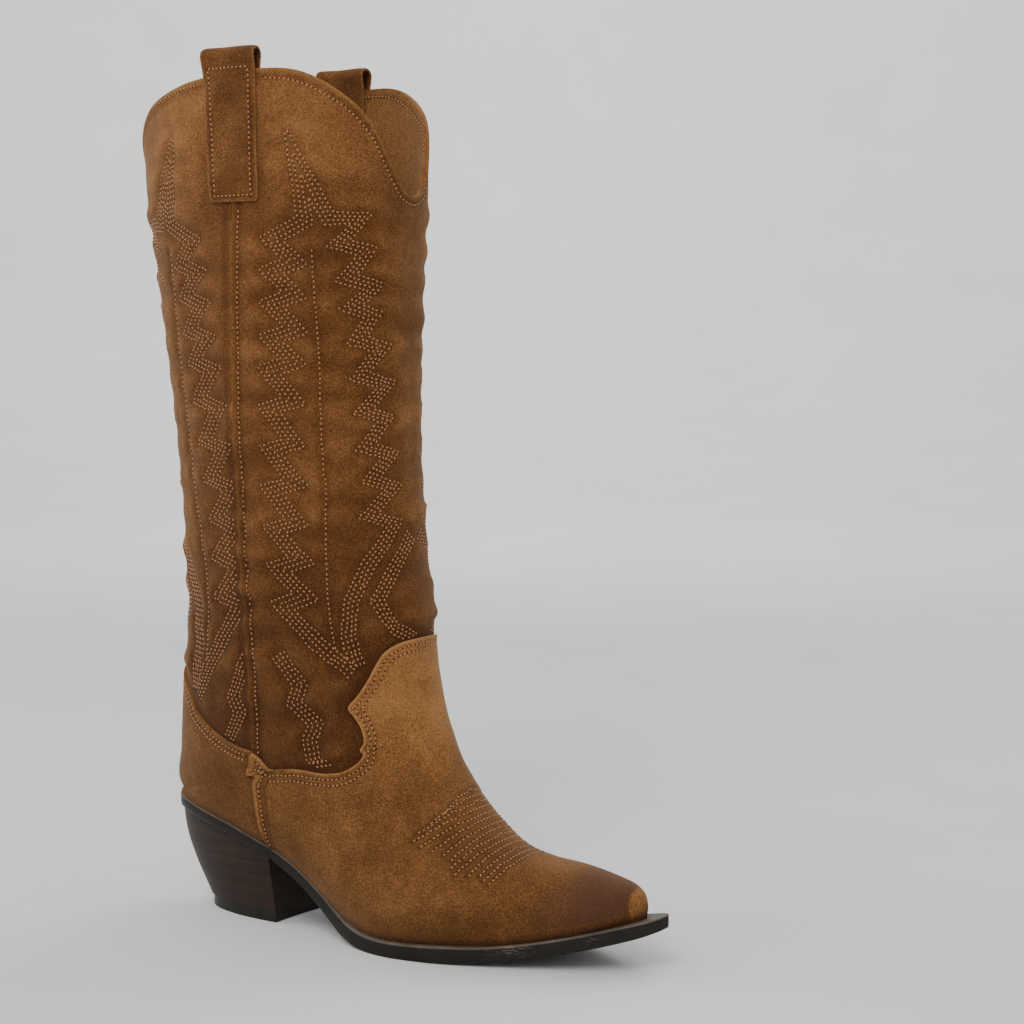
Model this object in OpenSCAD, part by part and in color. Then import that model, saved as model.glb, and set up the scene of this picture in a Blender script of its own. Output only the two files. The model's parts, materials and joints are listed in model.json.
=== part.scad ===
// Pull-on cowboy boot, right foot. Millimetres.
// +X runs to the toe, +Y to the inner side of the leg, +Z up.
// The origin is on the floor, on the heel's walking face.
// The leg and foot are one closed surface: a fan of sections swept from the
// top line (station 0) round the instep to the toe tip (station 14.4).
// Every leather piece is a patch of that surface with its own thickness.

/* [Leather] */
// Thickness of the suede pieces
leather_t = 1.35; // [0.8:0.05:2]
// Thickness of the textile lining
lining_t = 0.8; // [0.4:0.05:1.2]
// Clear gap between neighbouring layers
layer_gap = 0.05; // [0.02:0.01:0.2]
// Width of the leather turned in under the insole
margin_w = 11; // [6:0.5:14]

/* [Pull straps] */
// Rear edge of a strap as a share of the half girth
strap_rear = 0.54; // [0.5:0.005:0.6]
// Front edge of a strap as a share of the half girth
strap_front = 0.422; // [0.38:0.005:0.48]
// Height of the lower end of the outside strap patch
strap_foot_z = 371; // [340:1:400]
// Height of the top of the loop
loop_top_z = 447; // [440:0.5:456]
// Half width of the loop, front to back of the leather
loop_half = 3.9; // [2.5:0.1:6]

/* [Sole] */
// Thickness of the outsole under the heel seat
seat_t = 5.5; // [4:0.1:8]
// Depth of the hollow between the turned-in leather edges
cavity = 1.5; // [1:0.1:2.5]
// Thickness of the insole board
board_t = 1.2; // [0.8:0.1:2]
// Thickness of the cover sock
sock_t = 1; // [0.6:0.1:2]
// Rise of the foam pad under the heel
pad_rise = 2.2; // [1:0.1:5]

/* [Heel] */
// Thickness of the walking layer of the heel
top_piece_t = 6.2; // [4:0.1:9]
// Slant of the heel front, forward per unit of width
breast_slant = 0.13; // [0:0.01:0.3]

/* [Fixings] */
// Diameter of the heel screw shank
screw_d = 4.2; // [3:0.1:6]
// Diameter of a heel nail
nail_d = 2; // [1.2:0.1:3]
// Diameter of a top piece pin
pin_d = 2.4; // [1.5:0.1:4]
// Width of the steel shank
shank_w = 14; // [10:0.5:18]
// Thickness of the steel shank
shank_t = 1.2; // [0.8:0.1:1.4]

/* [Hidden] */
$fn = 28;

// Sections: station, front line x z, back line x z, half width.
STATION = [
    [0, 100, 440, -70, 440, 50], [1, 96, 375, -62, 375, 49.5],
    [2, 93, 318, -54, 318, 47], [3, 92, 262, -47, 262, 44.5],
    [4, 95, 212, -43, 212, 42], [5, 100, 172, -42, 165, 40],
    [6, 102.5, 146, -46, 118, 37.5], [7, 106, 127, -49, 86, 35],
    [8, 112, 107, -48, 62, 34], [9, 122, 85.5, -8, 50, 34.5],
    [10, 139, 64.2, 42, 34, 36], [11, 164, 48.8, 105, 9, 40],
    [12, 192, 44.8, 152, 11, 32.5], [13, 212.4, 41, 195.6, 19, 19.3],
    [13.6, 219.6, 38, 214.6, 24, 10.8], [14, 222.6, 35, 221.4, 26.5, 5],
    [14.4, 224.2, 32, 223.8, 28, 0.2]];
// Foot outline at the sole: x, half width, shift to the inner side.
FOOT = [[-48, 0, 0], [-45, 11.2, 0], [-37, 19, 0], [-20, 24.8, 0],
    [5, 26.8, 0], [30, 25.3, -1], [60, 25.8, -3.5], [85, 30.3, -5],
    [105, 35.3, -3.5], [125, 36.3, -0.5], [140, 34.8, 1.5],
    [160, 30.3, 2.5], [185, 22.3, 2.7], [204, 14.7, 2.8],
    [215.6, 9, 3.3], [221.6, 4.4, 4], [223.7, 0.3, 4.2]];
// Top face of the outsole: x, height.
SOLE_TOP = [[-52, 60.8], [-37, 59.2], [-22, 55.8], [-2, 50.6], [12, 45.6],
    [26, 40.4], [42, 32.8], [58, 22.8], [70, 15.5], [80, 10.8], [92, 8.2],
    [112, 7.8], [135, 8.7], [154, 9.8], [172, 12.4], [195, 17.3],
    [217, 23.2], [238, 28.9]];
// Floor side of the outsole in front of the heel: x, height.
SOLE_LOW = [[28, 33.2], [40, 27], [53, 18.4], [63, 10.8], [74, 4.2],
    [84, 1.1], [95, 0], [128, 0], [140, 0.7], [154, 2.2], [172, 4.9],
    [189, 8.3], [206, 12.4], [223, 17.3], [233, 21], [238, 23.4]];
// Outsole outline: x, outer side reach, inner side reach.
SOLE_EDGE = [[-50.5, 0, 0], [-49.6, 7.5, 7.5], [-47.5, 13, 13],
    [-39, 21.5, 21.5], [-20, 27.3, 27.3], [5, 29.3, 29], [30, 29, 26.5],
    [60, 32.5, 24.5], [85, 40, 28.5], [105, 43.5, 34], [125, 41.5, 39],
    [140, 38, 40], [160, 32, 36.8], [185, 23.8, 29], [205, 16.5, 21.5],
    [219, 11, 17.4], [229, 6, 13.5], [234.5, 0.6, 9], [236.5, -4, 4.6]];
// Height of the top line by girth share (0 front, 1 back), as a station.
TOP_LINE = [[0, 1.02], [0.04, 0.98], [0.07, 0.89], [0.105, 0.74],
    [0.14, 0.57], [0.19, 0.39], [0.25, 0.25], [0.31, 0.14], [0.36, 0.085],
    [0.42, 0.07], [0.5, 0.08], [0.58, 0.11], [0.64, 0.15], [0.75, 0.28],
    [0.85, 0.5], [0.93, 0.74], [1, 0.88]];
// Girth share of the side seam of the leg by station.
SIDE_SEAM = [[0, 0.48], [1.1, 0.487], [1.9, 0.503], [2.8, 0.522],
    [3.8, 0.54], [4.7, 0.55], [6, 0.54], [7.49, 0.545]];
// Where the side seam ends on the sole line, as a station.
SEAM_FOOT = 9.66;
// Front edge of the vamp from tongue to sole: station, share, toe share.
VAMP_EDGE = [[5.66, 0, 0], [5.665, 0.06, 0.055], [5.7, 0.12, 0.11],
    [5.84, 0.175, 0.16], [6.11, 0.21, 0.19], [6.42, 0.238, 0.215],
    [6.72, 0.268, 0.235], [6.96, 0.297, 0.25], [7.22, 0.285, 0.262],
    [7.53, 0.273, 0.272], [7.86, 0.275, 0.29], [8.15, 0.325, 0.33],
    [8.36, 0.39, 0.385], [8.44, 0.45, 0.43], [8.32, 0.495, 0.47],
    [7.98, 0.512, 0.505], [7.67, 0.527, 0.535], [7.49, 0.545, 0.56]];
// Upper edge of the counter cover by girth share, as a station.
COUNTER_EDGE = [[0.545, 7.49], [0.59, 7.27], [0.64, 6.99], [0.69, 6.68],
    [0.73, 6.44], [0.765, 6.18], [0.8, 6], [0.86, 5.85], [0.93, 5.75],
    [1, 5.7]];
// Hidden lower edge of the two shaft panels by girth share.
SHAFT_END = [[0, 6.2], [0.14, 6.3], [0.2, 6.9], [0.24, 7.8], [0.28, 8.5],
    [0.36, 8.85], [0.44, 8.95], [0.5, 8.8], [0.545, 8.1], [0.6, 7.75],
    [0.65, 7.4], [0.7, 7.05], [0.75, 6.75], [0.8, 6.45], [0.86, 6.3],
    [0.93, 6.2], [1, 6.15]];
// Lower edge of the facings by girth share.
FACING_END = [[0, 1.5], [0.1, 1.36], [0.2, 1.12], [0.3, 0.96],
    [0.42, 0.9], [0.54, 0.92], [0.7, 1.02], [0.85, 1.22], [1, 1.4]];
// Heel: height, back x, half width, front x.
HEEL = [[0, -30.5, 22.3, 26], [6, -32.6, 22.8, 25.8],
    [15, -37.6, 23.7, 25.4], [23, -42, 24.7, 25],
    [37, -47.6, 26.6, 24.6], [50, -49.8, 28, 24.4],
    [70, -50, 28.4, 24.4]];

function unit(v) = v / max(norm(v), 0.000001);
function index_of(k, x) =
    max([for (j = [0:len(k) - 2]) k[j][0] <= x ? j : 0]);
// Smooth curve through the points of a table.
function smooth(k, x, c = 1) = let(n = len(k),
    q = min(max(x, k[0][0]), k[n - 1][0]), i = index_of(k, q),
    a = max(i - 1, 0), d = min(i + 2, n - 1), h = k[i + 1][0] - k[i][0],
    u = (q - k[i][0]) / h,
    m0 = h * (k[i + 1][c] - k[a][c]) / (k[i + 1][0] - k[a][0]),
    m1 = h * (k[d][c] - k[i][c]) / (k[d][0] - k[i][0]))
    (2 * u * u * u - 3 * u * u + 1) * k[i][c]
        + (u * u * u - 2 * u * u + u) * m0
        + (3 * u * u - 2 * u * u * u) * k[i + 1][c]
        + (u * u * u - u * u) * m1;
function fine(k, c, d) = [for (x = [k[0][0]:d:k[len(k) - 1][0] + d / 2])
    [x, smooth(k, x, c)]];

F_X = fine(STATION, 1, 0.1);
F_Z = fine(STATION, 2, 0.1);
B_X = fine(STATION, 3, 0.1);
B_Z = fine(STATION, 4, 0.1);
W_H = fine(STATION, 5, 0.1);
O_H = fine(FOOT, 1, 1.5);
O_C = fine(FOOT, 2, 1.5);
S_T = fine(SOLE_TOP, 1, 2);
S_L = fine(SOLE_LOW, 1, 2);
E_O = fine(SOLE_EDGE, 1, 1.5);
E_I = fine(SOLE_EDGE, 2, 1.5);
T_L = fine(TOP_LINE, 1, 0.01);
F_E = fine(FACING_END, 1, 0.02);
C_E = fine(COUNTER_EDGE, 1, 0.01);
S_E = fine(SHAFT_END, 1, 0.01);
function sole_z(x) = lookup(x, S_T);
function feather_z(x) = sole_z(x) + cavity;

// One section of the fan: front point, back point, width, end angle, shift.
function section(s) = let(q = max(s, 0), bx = lookup(q, B_X),
    low = q > 8, w0 = lookup(q, W_H), h = low ? lookup(bx, O_H) : 0,
    c = low ? lookup(bx, O_C) : 0, w = max(w0, h),
    bz = low ? feather_z(bx) : lookup(q, B_Z))
    [lookup(q, F_X), lookup(q, F_Z), bx, bz, w,
        180 - asin(min(h / w, 1)), c];
// Point at girth share t: 0 front, 1 back or sole edge, sign is the side.
function spot(s, t) = let(g = section(s),
    wrap = (s <= 8 && abs(t) > 1) ? (t > 0 ? t - 2 : t + 2)
        : max(min(t, 1), -1),
    a = abs(wrap) * g[5], u = (1 - cos(a)) / (1 - cos(g[5])),
    w = g[4] * pow(max(sin(a), 0), 0.88),
    p = [g[0] + (g[2] - g[0]) * u, (wrap < 0 ? -w : w) + g[6],
        g[1] + (g[3] - g[1]) * u])
    s < 0 ? p + (spot(0, t) - spot(0.1, t)) * (-s / 0.1) : p;
function outward(s, t) = unit(unit(cross(
    spot(max(s, 0) + 0.04, t) - spot(max(s - 0.04, 0), t),
    spot(max(s, 0), t + 0.012) - spot(max(s, 0), t - 0.012)))
    + [6 * max(s - 13.7, 0), 0, 0]);
function at(s, t) = [spot(s, t), outward(s, t)];
// Girth share at a given distance from the heel, on one section.
function share_at(s, x) = let(g = section(s),
    u = min(max((x - g[0]) / (g[2] - g[0]), 0), 1))
    acos(1 - u * (1 - cos(g[5]))) / g[5];
JOIN_S = 7.49;
JOIN_X = spot(JOIN_S, 0.545)[0];
FOOT_X = lookup(SEAM_FOOT, B_X);
// Girth share of the side seam, which runs on to the sole line.
function seam(s) = s <= JOIN_S ? lookup(s, SIDE_SEAM)
    : s >= SEAM_FOOT ? 1 : share_at(s, JOIN_X
        + (FOOT_X - JOIN_X) * (s - JOIN_S) / (SEAM_FOOT - JOIN_S));
VAMP_RIM = concat(VAMP_EDGE, [for (i = [1:8])
    let(s = JOIN_S + (SEAM_FOOT - JOIN_S) * i / 8, a = seam(s))
    [s, a, a * 0.965 + 0.035]]);
// The corner where the leather turns under, and the turned-in edge.
function corner(s, t) = [spot(s, t), 1.3 * unit(outward(s, t) + [0, 0, -1])];
function turned(s, t, m) = let(p = spot(s, t), n = outward(s, t),
    f = unit([n[0], n[1], 0]), half = abs(p[1] - section(s)[6]),
    d = s > 10 ? min(m, (m < 2 ? 0.3 : 0.7) * half) : m,
    q = p - f * d)
    [[q[0], q[1], feather_z(q[0])], [0, 0, -1]];

// A closed leather sheet over a grid of points and directions.
module sheet(g, lo, hi) {
    n = len(g);
    m = len(g[0]);
    k = n * m;
    pts = concat([for (r = g) for (v = r) v[0] + v[1] * hi],
        [for (r = g) for (v = r) v[0] + v[1] * lo]);
    f = concat(
        [for (i = [0:n - 2]) for (j = [0:m - 2]) let(a = i * m + j)
            each [[a, a + 1, a + m + 1], [a, a + m + 1, a + m],
                [k + a, k + a + m + 1, k + a + 1],
                [k + a, k + a + m, k + a + m + 1]]],
        [for (j = [0:m - 2]) let(a = j, b = (n - 1) * m + j)
            each [[a + 1, a, k + a], [a + 1, k + a, k + a + 1],
                [b, b + 1, k + b + 1], [b, k + b + 1, k + b]]],
        [for (i = [0:n - 2]) let(a = i * m, b = i * m + m - 1)
            each [[a, a + m, k + a + m], [a, k + a + m, k + a],
                [b + m, b, k + b], [b + m, k + b, k + b + m]]]);
    polyhedron(pts, f, 8);
}
// Evenly spaced numbers.
function steps(a, b, n) = [for (i = [0:n]) a + (b - a) * i / n];
// Panel in front of the side seams.
function front_grid(top, low, rows, cols, side = 0.994) =
    [for (r = steps(0, 1, rows)) [for (k = steps(-1, 1, cols))
        let(t0 = abs(k) * 0.5, a = lookup(t0, top), b = lookup(t0, low),
            s = a + (b - a) * r) at(s, k * side * min(seam(s), 0.56))]];
// Panel behind the side seams.
function back_grid(top, low, rows, cols, side = 0.994) =
    [for (r = steps(0, 1, rows)) [for (k = steps(1, -1, cols))
        let(h = 1 - abs(k) * 0.475,
            a = lookup(h, top), b = lookup(h, low), s = a + (b - a) * r,
            v = 1 - abs(k) * side * (1 - min(seam(s), 0.56)))
            at(s, k < 0 ? -v : v)]];
// Heel wrap: from an upper edge down to the sole line, along columns that
// run straight from one to the other as seen from the side.
function heel_point(k, r, top, foot, side, end) = let(a = abs(k) * side,
    h = 1 - a * 0.455, s0 = lookup(h, top), s1 = foot + (end - foot) * a,
    s = s0 + (s1 - s0) * r, x0 = spot(s0, h)[0], x1 = lookup(s1, B_X),
    c0 = lookup(1, top), cx = lookup(c0 + (foot - c0) * r, B_X)
        - lookup(c0, B_X) * (1 - r) - lookup(foot, B_X) * r,
    x = x0 + (x1 - x0) * r + cx * (1 - a),
    t = a == 0 ? 1 : share_at(s, x))
    [s, k < 0 ? -t : t];
function heel_grid(top, foot, rows, cols, side, inner) =
    [for (r = steps(0, 1, rows)) [for (k = steps(1, -1, cols))
        let(p = heel_point(k, r, top, foot, side, SEAM_FOOT),
            q = min(abs(p[1]), 1 - 0.055 * min(1, 4 * abs(k))))
            inner ? at(p[0], k < 0 ? -q : q)
                : r == 1 ? corner(p[0], p[1]) : at(p[0], p[1])]];
// Inner parts of the foot stop a little above the insole.
function low_share(s) = s < 12 ? 0.945 : 0.945 - 0.05 * (s - 12);

// Vamp: a fan of lines from its edge to the toe tip.
VAMP_END = 14.4;
function vamp_line(e, sg, rows) = [for (r = steps(0, 1, rows))
    let(g = 0.55 * r + 0.45 * r * r, s = e[0] + (VAMP_END - e[0]) * g,
        t = e[2] + (e[1] - e[2]) * exp(-(s - e[0]) / 0.35))
        [s, sg * t]];
VAMP_ROWS = 24;
function vamp_cols() = let(n = len(VAMP_RIM) - 1,
    turn = function(sg) [for (p = vamp_line(VAMP_RIM[n], sg, VAMP_ROWS))
        turned(p[0], p[1], margin_w)],
    bend = function(sg) [for (p = vamp_line(VAMP_RIM[n], sg, VAMP_ROWS))
        turned(p[0], p[1], 1.6)],
    edge = function(sg) [for (p = vamp_line(VAMP_RIM[n], sg, VAMP_ROWS))
        corner(p[0], p[1])],
    wall = function(i, sg) [for (p = vamp_line(VAMP_RIM[i], sg, VAMP_ROWS))
        at(p[0], p[1])])
    concat([turn(-1), bend(-1), edge(-1)],
        [for (i = [n - 1:-1:0]) wall(i, -1)],
        [for (i = [1:n - 1]) wall(i, 1)], [edge(1), bend(1), turn(1)]);
function flip(g) = [for (i = [0:len(g[0]) - 1]) [for (r = g) r[i]]];

// Flat solid from a plan outline and a side profile.
module slab(plan, side) intersection() {
    translate([0, 0, -20]) linear_extrude(140) polygon(plan);
    rotate([90, 0, 0]) translate([0, 0, -80])
        linear_extrude(160) polygon(side);
}
// Foot outline drawn in by d, between two x positions.
function foot_plan(d, x0, x1, n = 30) = let(a = max(x0, -48 + d),
    b = min(x1, 222.2 - d * 1.6), xs = [for (i = [0:n])
        a + (b - a) * (0.5 - 0.5 * cos(180 * i / n))])
    concat([for (x = xs) [x, lookup(x, O_C) - max(lookup(x, O_H) - d
            - (x < -20 ? (-20 - x) * 0.02 * d : 0), 0.6)]],
        [for (i = [n:-1:0]) let(x = xs[i]) [x, lookup(x, O_C)
            + max(lookup(x, O_H) - d
            - (x < -20 ? (-20 - x) * 0.02 * d : 0), 0.6)]]);
// Side profile between two heights above the outsole's top face.
function band(lo, hi, x0, x1, n = 36) = concat(
    [for (x = steps(x0, x1, n)) [x, sole_z(x) + lo]],
    [for (x = steps(x1, x0, n)) [x, sole_z(x) + hi]]);
function pad_h(x) = pad_rise * (x < -5 ? 1
    : x > 38 ? 0 : 0.5 + 0.5 * cos(180 * (x + 5) / 43));
// Upright bore or pin between two heights.
module peg(x, y, z0, z1, d) translate([x, y, z0]) cylinder(h = z1 - z0, d = d);
SCREW_X = -12;
NAIL_XY = [[-33, 0], [-25, 11.5], [-25, -11.5], [-6, 13.2], [-6, -13.2],
    [12, 13], [12, -13]];
PIN_XY = [[-20, 0], [-6, 12], [-6, -12], [14, 11], [14, -11]];
RIVET_X = [4, 52];
function heel_plan(z, n = 26) = let(b = smooth(HEEL, z, 1),
    w = smooth(HEEL, z, 2), f = smooth(HEEL, z, 3), p = 2 / 2.2)
    [for (i = [0:n]) let(a = -90 + 180 * i / n,
        y = w * sign(a) * pow(abs(sin(a)), p))
        [f + breast_slant * y - (f - b) * pow(cos(a), p), y]];
module nail_bores(extra) for (q = NAIL_XY)
    peg(q[0], q[1], 0, 90, nail_d + extra);

module front_shaft() color("peru")
    sheet(front_grid(T_L, S_E, 34, 24), -leather_t, 0);
module back_shaft() color("sienna")
    sheet(back_grid(T_L, S_E, 34, 22), -leather_t, 0);
module vamp() color("chocolate")
    sheet(flip(vamp_cols()), layer_gap, layer_gap + leather_t);
module counter_cover() color("saddlebrown")
    sheet(concat(heel_grid(C_E, 8.01, 12, 28, 0.99, false),
        [for (m = [1.6, margin_w]) [for (k = steps(1, -1, 28))
            let(p = heel_point(k, 1, C_E, 8.01, 0.99, SEAM_FOOT))
            turned(p[0], p[1], m)]]),
        layer_gap, layer_gap + leather_t);

// Strap: one strip up the outside, over the top line and down inside.
function strap_path() = let(o = layer_gap + leather_t / 2 + 0.05,
    i = -(leather_t * 2 + layer_gap * 3 + leather_t / 2),
    m = (o + i) / 2, z = loop_top_z - leather_t / 2 - loop_half)
    concat([for (a = [0:5]) [o, strap_foot_z + a * (430 - strap_foot_z) / 5]],
        [[o + 0.5, 435]],
        [for (a = [0:15:180]) [m + loop_half * cos(a),
            z + loop_half * sin(a)]],
        [[i - 0.5, 435]], [for (a = [0:3]) [i, 430 - a * 10]]);
function strap_side(p, d) = [for (j = [0:len(p) - 1])
    let(a = p[max(j - 1, 0)], b = p[min(j + 1, len(p) - 1)],
        v = unit(b - a)) p[j] + [v[1], -v[0]] * d];
module strap(sg) {
    p = strap_path();
    ring = concat(strap_side(p, leather_t / 2),
        [for (j = [len(p) - 1:-1:0])
            strap_side(p, -leather_t / 2)[j]]);
    m = len(ring);
    cols = steps(strap_front, strap_rear, 8);
    c = len(cols);
    pts = [for (t = cols) for (q = ring) let(s = (440 - q[1]) / 65,
        g = (440 - 400) / 65, n = outward(s < 0.05 ? 0.05 : s, sg * t))
        spot(s, sg * t) + n * q[0]];
    k = (c - 1) * m;
    f = concat([for (i = [0:c - 2]) for (j = [0:m - 1])
        let(a = i * m + j, b = i * m + (j + 1) % m)
            each [[a, b, b + m], [a, b + m, a + m]]],
        [for (j = [0:len(p) - 2]) let(a = m - 1 - j)
            each [[j + 1, j, a], [j + 1, a, a - 1],
                [k + j, k + j + 1, k + a], [k + j + 1, k + a - 1, k + a]]]);
    polyhedron(pts, sg < 0 ? [for (v = f) [for (j = [len(v) - 1:-1:0])
        v[j]]] : f, 8);
}
module outer_pull_strap() color("peru") strap(-1);
module inner_pull_strap() color("peru") strap(1);

IN_HI = -leather_t - layer_gap;
module front_facing() color("tan")
    sheet(front_grid(T_L, F_E, 5, 18, 0.99), IN_HI - leather_t, IN_HI);
module back_facing() color("tan")
    sheet(back_grid(T_L, F_E, 5, 18, 0.99), IN_HI - leather_t, IN_HI);
F_L = [for (v = F_E) [v[0], v[1] + 0.01]];
module front_lining() color("dimgray")
    sheet(front_grid(F_L, [[0, 7.3], [1, 7.3]], 20, 14, 0.985),
        IN_HI - lining_t, IN_HI);
module back_lining() color("dimgray")
    sheet(heel_lining_grid(22, 16), IN_HI - lining_t, IN_HI);
function heel_lining_grid(rows, cols) = [for (r = steps(0, 1, rows))
    [for (k = steps(1, -1, cols)) let(a = abs(k) * 0.985,
        g = min(r / 0.7, 1), f = max(r - 0.7, 0) / 0.3,
        h = 1 - a * 0.5, s0 = lookup(h, F_L), sm = 6.15 + 1.3 * a,
        s1 = s0 + (sm - s0) * g,
        v = 1 - a * (1 - min(seam(s1), 0.545)),
        p = heel_point(k, f, [[0.545, 7.45], [1, 6.15]], 7.8, 0.985, 9.5),
        t = f > 0 ? min(abs(p[1]), 1 - 0.06 * min(1, 4 * a)) : v)
        at(f > 0 ? p[0] : s1, k < 0 ? -t : t)]];
module vamp_lining() color("gray")
    sheet([for (s = steps(7.34, 13.2, 18)) [for (k = steps(-1, 1, 18))
        at(s, k * (min(seam(s) - 0.012, low_share(s))))]],
        IN_HI - lining_t, IN_HI);
module toe_puff() color("linen")
    sheet([for (s = steps(11.4, 13.2, 8)) [for (k = steps(-1, 1, 16))
        at(s, k * low_share(s))]], -leather_t, 0);
STIFF = [for (v = S_E) [v[0], v[1] + 0.06]];
module heel_stiffener() color("burlywood")
    sheet(heel_grid(STIFF, 7.8, 8, 20, 0.9, true), -leather_t, 0);

module insole_board() color("wheat") difference() {
    slab(foot_plan(0.5, -50, 230), concat(
        [for (x = steps(-50, 86, 30)) [x, sole_z(x) + cavity + 1.3]],
        [for (x = steps(90, 230, 30)) [x, sole_z(x) + cavity + 0.05]],
        [for (x = steps(230, -50, 56)) [x, sole_z(x) + cavity + 2.5]]));
    nail_bores(0.2);
    peg(SCREW_X, 0, 0, 90, screw_d + 0.3);
}
module shank_board() color("khaki") difference() {
    slab(foot_plan(0.7, -50, 85),
        band(cavity + 0.05, cavity + 0.05 + board_t, -50, 85));
    nail_bores(0.2);
    peg(SCREW_X, 0, 0, 90, screw_d + 0.3);
    for (x = RIVET_X) peg(x, 0, 0, 90, 3.2);
}
module steel_shank() color("silver") difference() {
    slab([[-22, -shank_w / 2], [68, -shank_w / 2 - 2], [72, -4], [72, 0],
        [68, shank_w / 2 - 2], [-22, shank_w / 2], [-25, 3], [-25, -3]],
        band(0.1, 0.1 + shank_t, -30, 76));
    peg(SCREW_X, 0, 0, 90, screw_d + 0.6);
    for (x = RIVET_X) peg(x, 0, 0, 90, 3.2);
}
module shank_rivets() color("gold") for (x = RIVET_X)
    peg(x, 0, sole_z(x) + 0.25, sole_z(x) + cavity + 1.0, 3);
module bottom_filler() color("goldenrod")
    slab(foot_plan(margin_w + 1.2, 84, 214), band(0.1, cavity - 0.1, 84, 214));
SOCK_LO = cavity + 2.6;
module heel_pad() color("lightyellow")
    slab(foot_plan(5, -50, 34), concat(
        [for (x = steps(-50, 34, 26)) [x, sole_z(x) + SOCK_LO + 0.05]],
        [for (x = steps(34, -50, 26)) [x, sole_z(x) + SOCK_LO + 0.05
            + max(pad_h(x), 0.08)]]));
module sock_lining() color("darkgoldenrod")
    slab(foot_plan(3.4, -50, 212), concat(
        [for (x = steps(-50, 212, 60)) [x, sole_z(x) + SOCK_LO + 0.15
            + pad_h(x)]],
        [for (x = steps(212, -50, 60)) [x, sole_z(x) + SOCK_LO + 0.15
            + sock_t + pad_h(x)]]));

function sole_plan(n = 34) = let(xs = [for (i = [0:n])
        -50.5 + 287 * (0.5 - 0.5 * cos(180 * i / n))])
    concat([for (x = xs) [x, -lookup(x, E_O)]],
        [for (i = [n - 1:-1:1]) [xs[i], lookup(xs[i], E_I)]]);
module outsole() color("darkslategray") difference() {
    slab(sole_plan(), concat(
        [for (x = steps(-52, 24, 18)) [x, sole_z(x) - seat_t]],
        [for (x = steps(28, 238, 60)) [x, max(lookup(x, S_L), 0)]],
        [for (x = steps(238, -52, 80)) [x, sole_z(x)]]));
    nail_bores(0.2);
    peg(SCREW_X, 0, 0, 90, screw_d + 0.3);
}
HEEL_LEVELS = [6.3, 10, 15, 20, 26, 32, 38, 44, 50, 60];
module heel_block() color("saddlebrown") difference() {
    intersection() {
        heel_loft();
        rotate([90, 0, 0]) translate([0, 0, -60]) linear_extrude(120)
            polygon(concat([[-60, top_piece_t + 0.05]],
                [[40, top_piece_t + 0.05]],
                [for (x = steps(40, -60, 30)) [x, min(sole_z(x) - seat_t,
                    x > 24 ? lookup(max(x, 28), S_L) : 90) - 0.05]]));
    }
    nail_bores(0.2);
    peg(SCREW_X, 0, 12, 90, screw_d + 0.3);
    for (q = PIN_XY) peg(q[0], q[1], 0, 14.2, pin_d + 0.2);
}
module heel_loft() {
    n = 26;
    g = [for (z = HEEL_LEVELS) [for (q = heel_plan(z, n)) [q[0], q[1], z]]];
    m = n + 1;
    l = len(g);
    polyhedron([for (r = g) each r], concat(
        [for (i = [0:l - 2]) for (j = [0:m - 1])
            let(a = i * m + j, b = i * m + (j + 1) % m)
            each [[a, b, b + m], [a, b + m, a + m]]],
        [[for (j = [m - 1:-1:0]) j]],
        [[for (j = [0:m - 1]) (l - 1) * m + j]]), 8);
}
module heel_top_piece() color("dimgray") difference() {
    linear_extrude(top_piece_t) polygon(heel_plan(2));
    for (q = PIN_XY) peg(q[0], q[1], 1.5, 20, pin_d + 0.2);
}
module heel_screw() color("silver") {
    z = sole_z(SCREW_X) + cavity + 2.55;
    peg(SCREW_X, 0, 13, z, screw_d);
    peg(SCREW_X, 0, z - 0.05, z + 0.1, screw_d);
}
module heel_nails() color("silver") for (q = NAIL_XY)
    peg(q[0], q[1], sole_z(q[0]) - 22, sole_z(q[0]) + cavity + 1.2, nail_d);
module top_piece_pins() color("gray") for (q = PIN_XY)
    peg(q[0], q[1], 1.7, 14, pin_d);

front_shaft();
back_shaft();
vamp();
counter_cover();
outer_pull_strap();
inner_pull_strap();
front_facing();
back_facing();
front_lining();
back_lining();
vamp_lining();
toe_puff();
heel_stiffener();
insole_board();
shank_board();
steel_shank();
shank_rivets();
bottom_filler();
sock_lining();
heel_pad();
outsole();
heel_block();
heel_top_piece();
heel_screw();
heel_nails();
top_piece_pins();
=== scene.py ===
"""Pull-on cowboy boot in suede: stitched leg, snip toe, stacked heel.

Lengths are in millimetres until a piece is finished, then in metres.
The leg and foot are one surface, addressed by a station (0 at the top line,
14.4 at the toe tip) and a girth share (0 at the front, 1 at the back or at
the sole line; minus is the outer side).
"""

import json
import math

import bmesh
import bpy
import numpy as np
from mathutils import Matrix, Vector
from mathutils.bvhtree import BVHTree
from mathutils.kdtree import KDTree
from mathutils import noise

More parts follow.
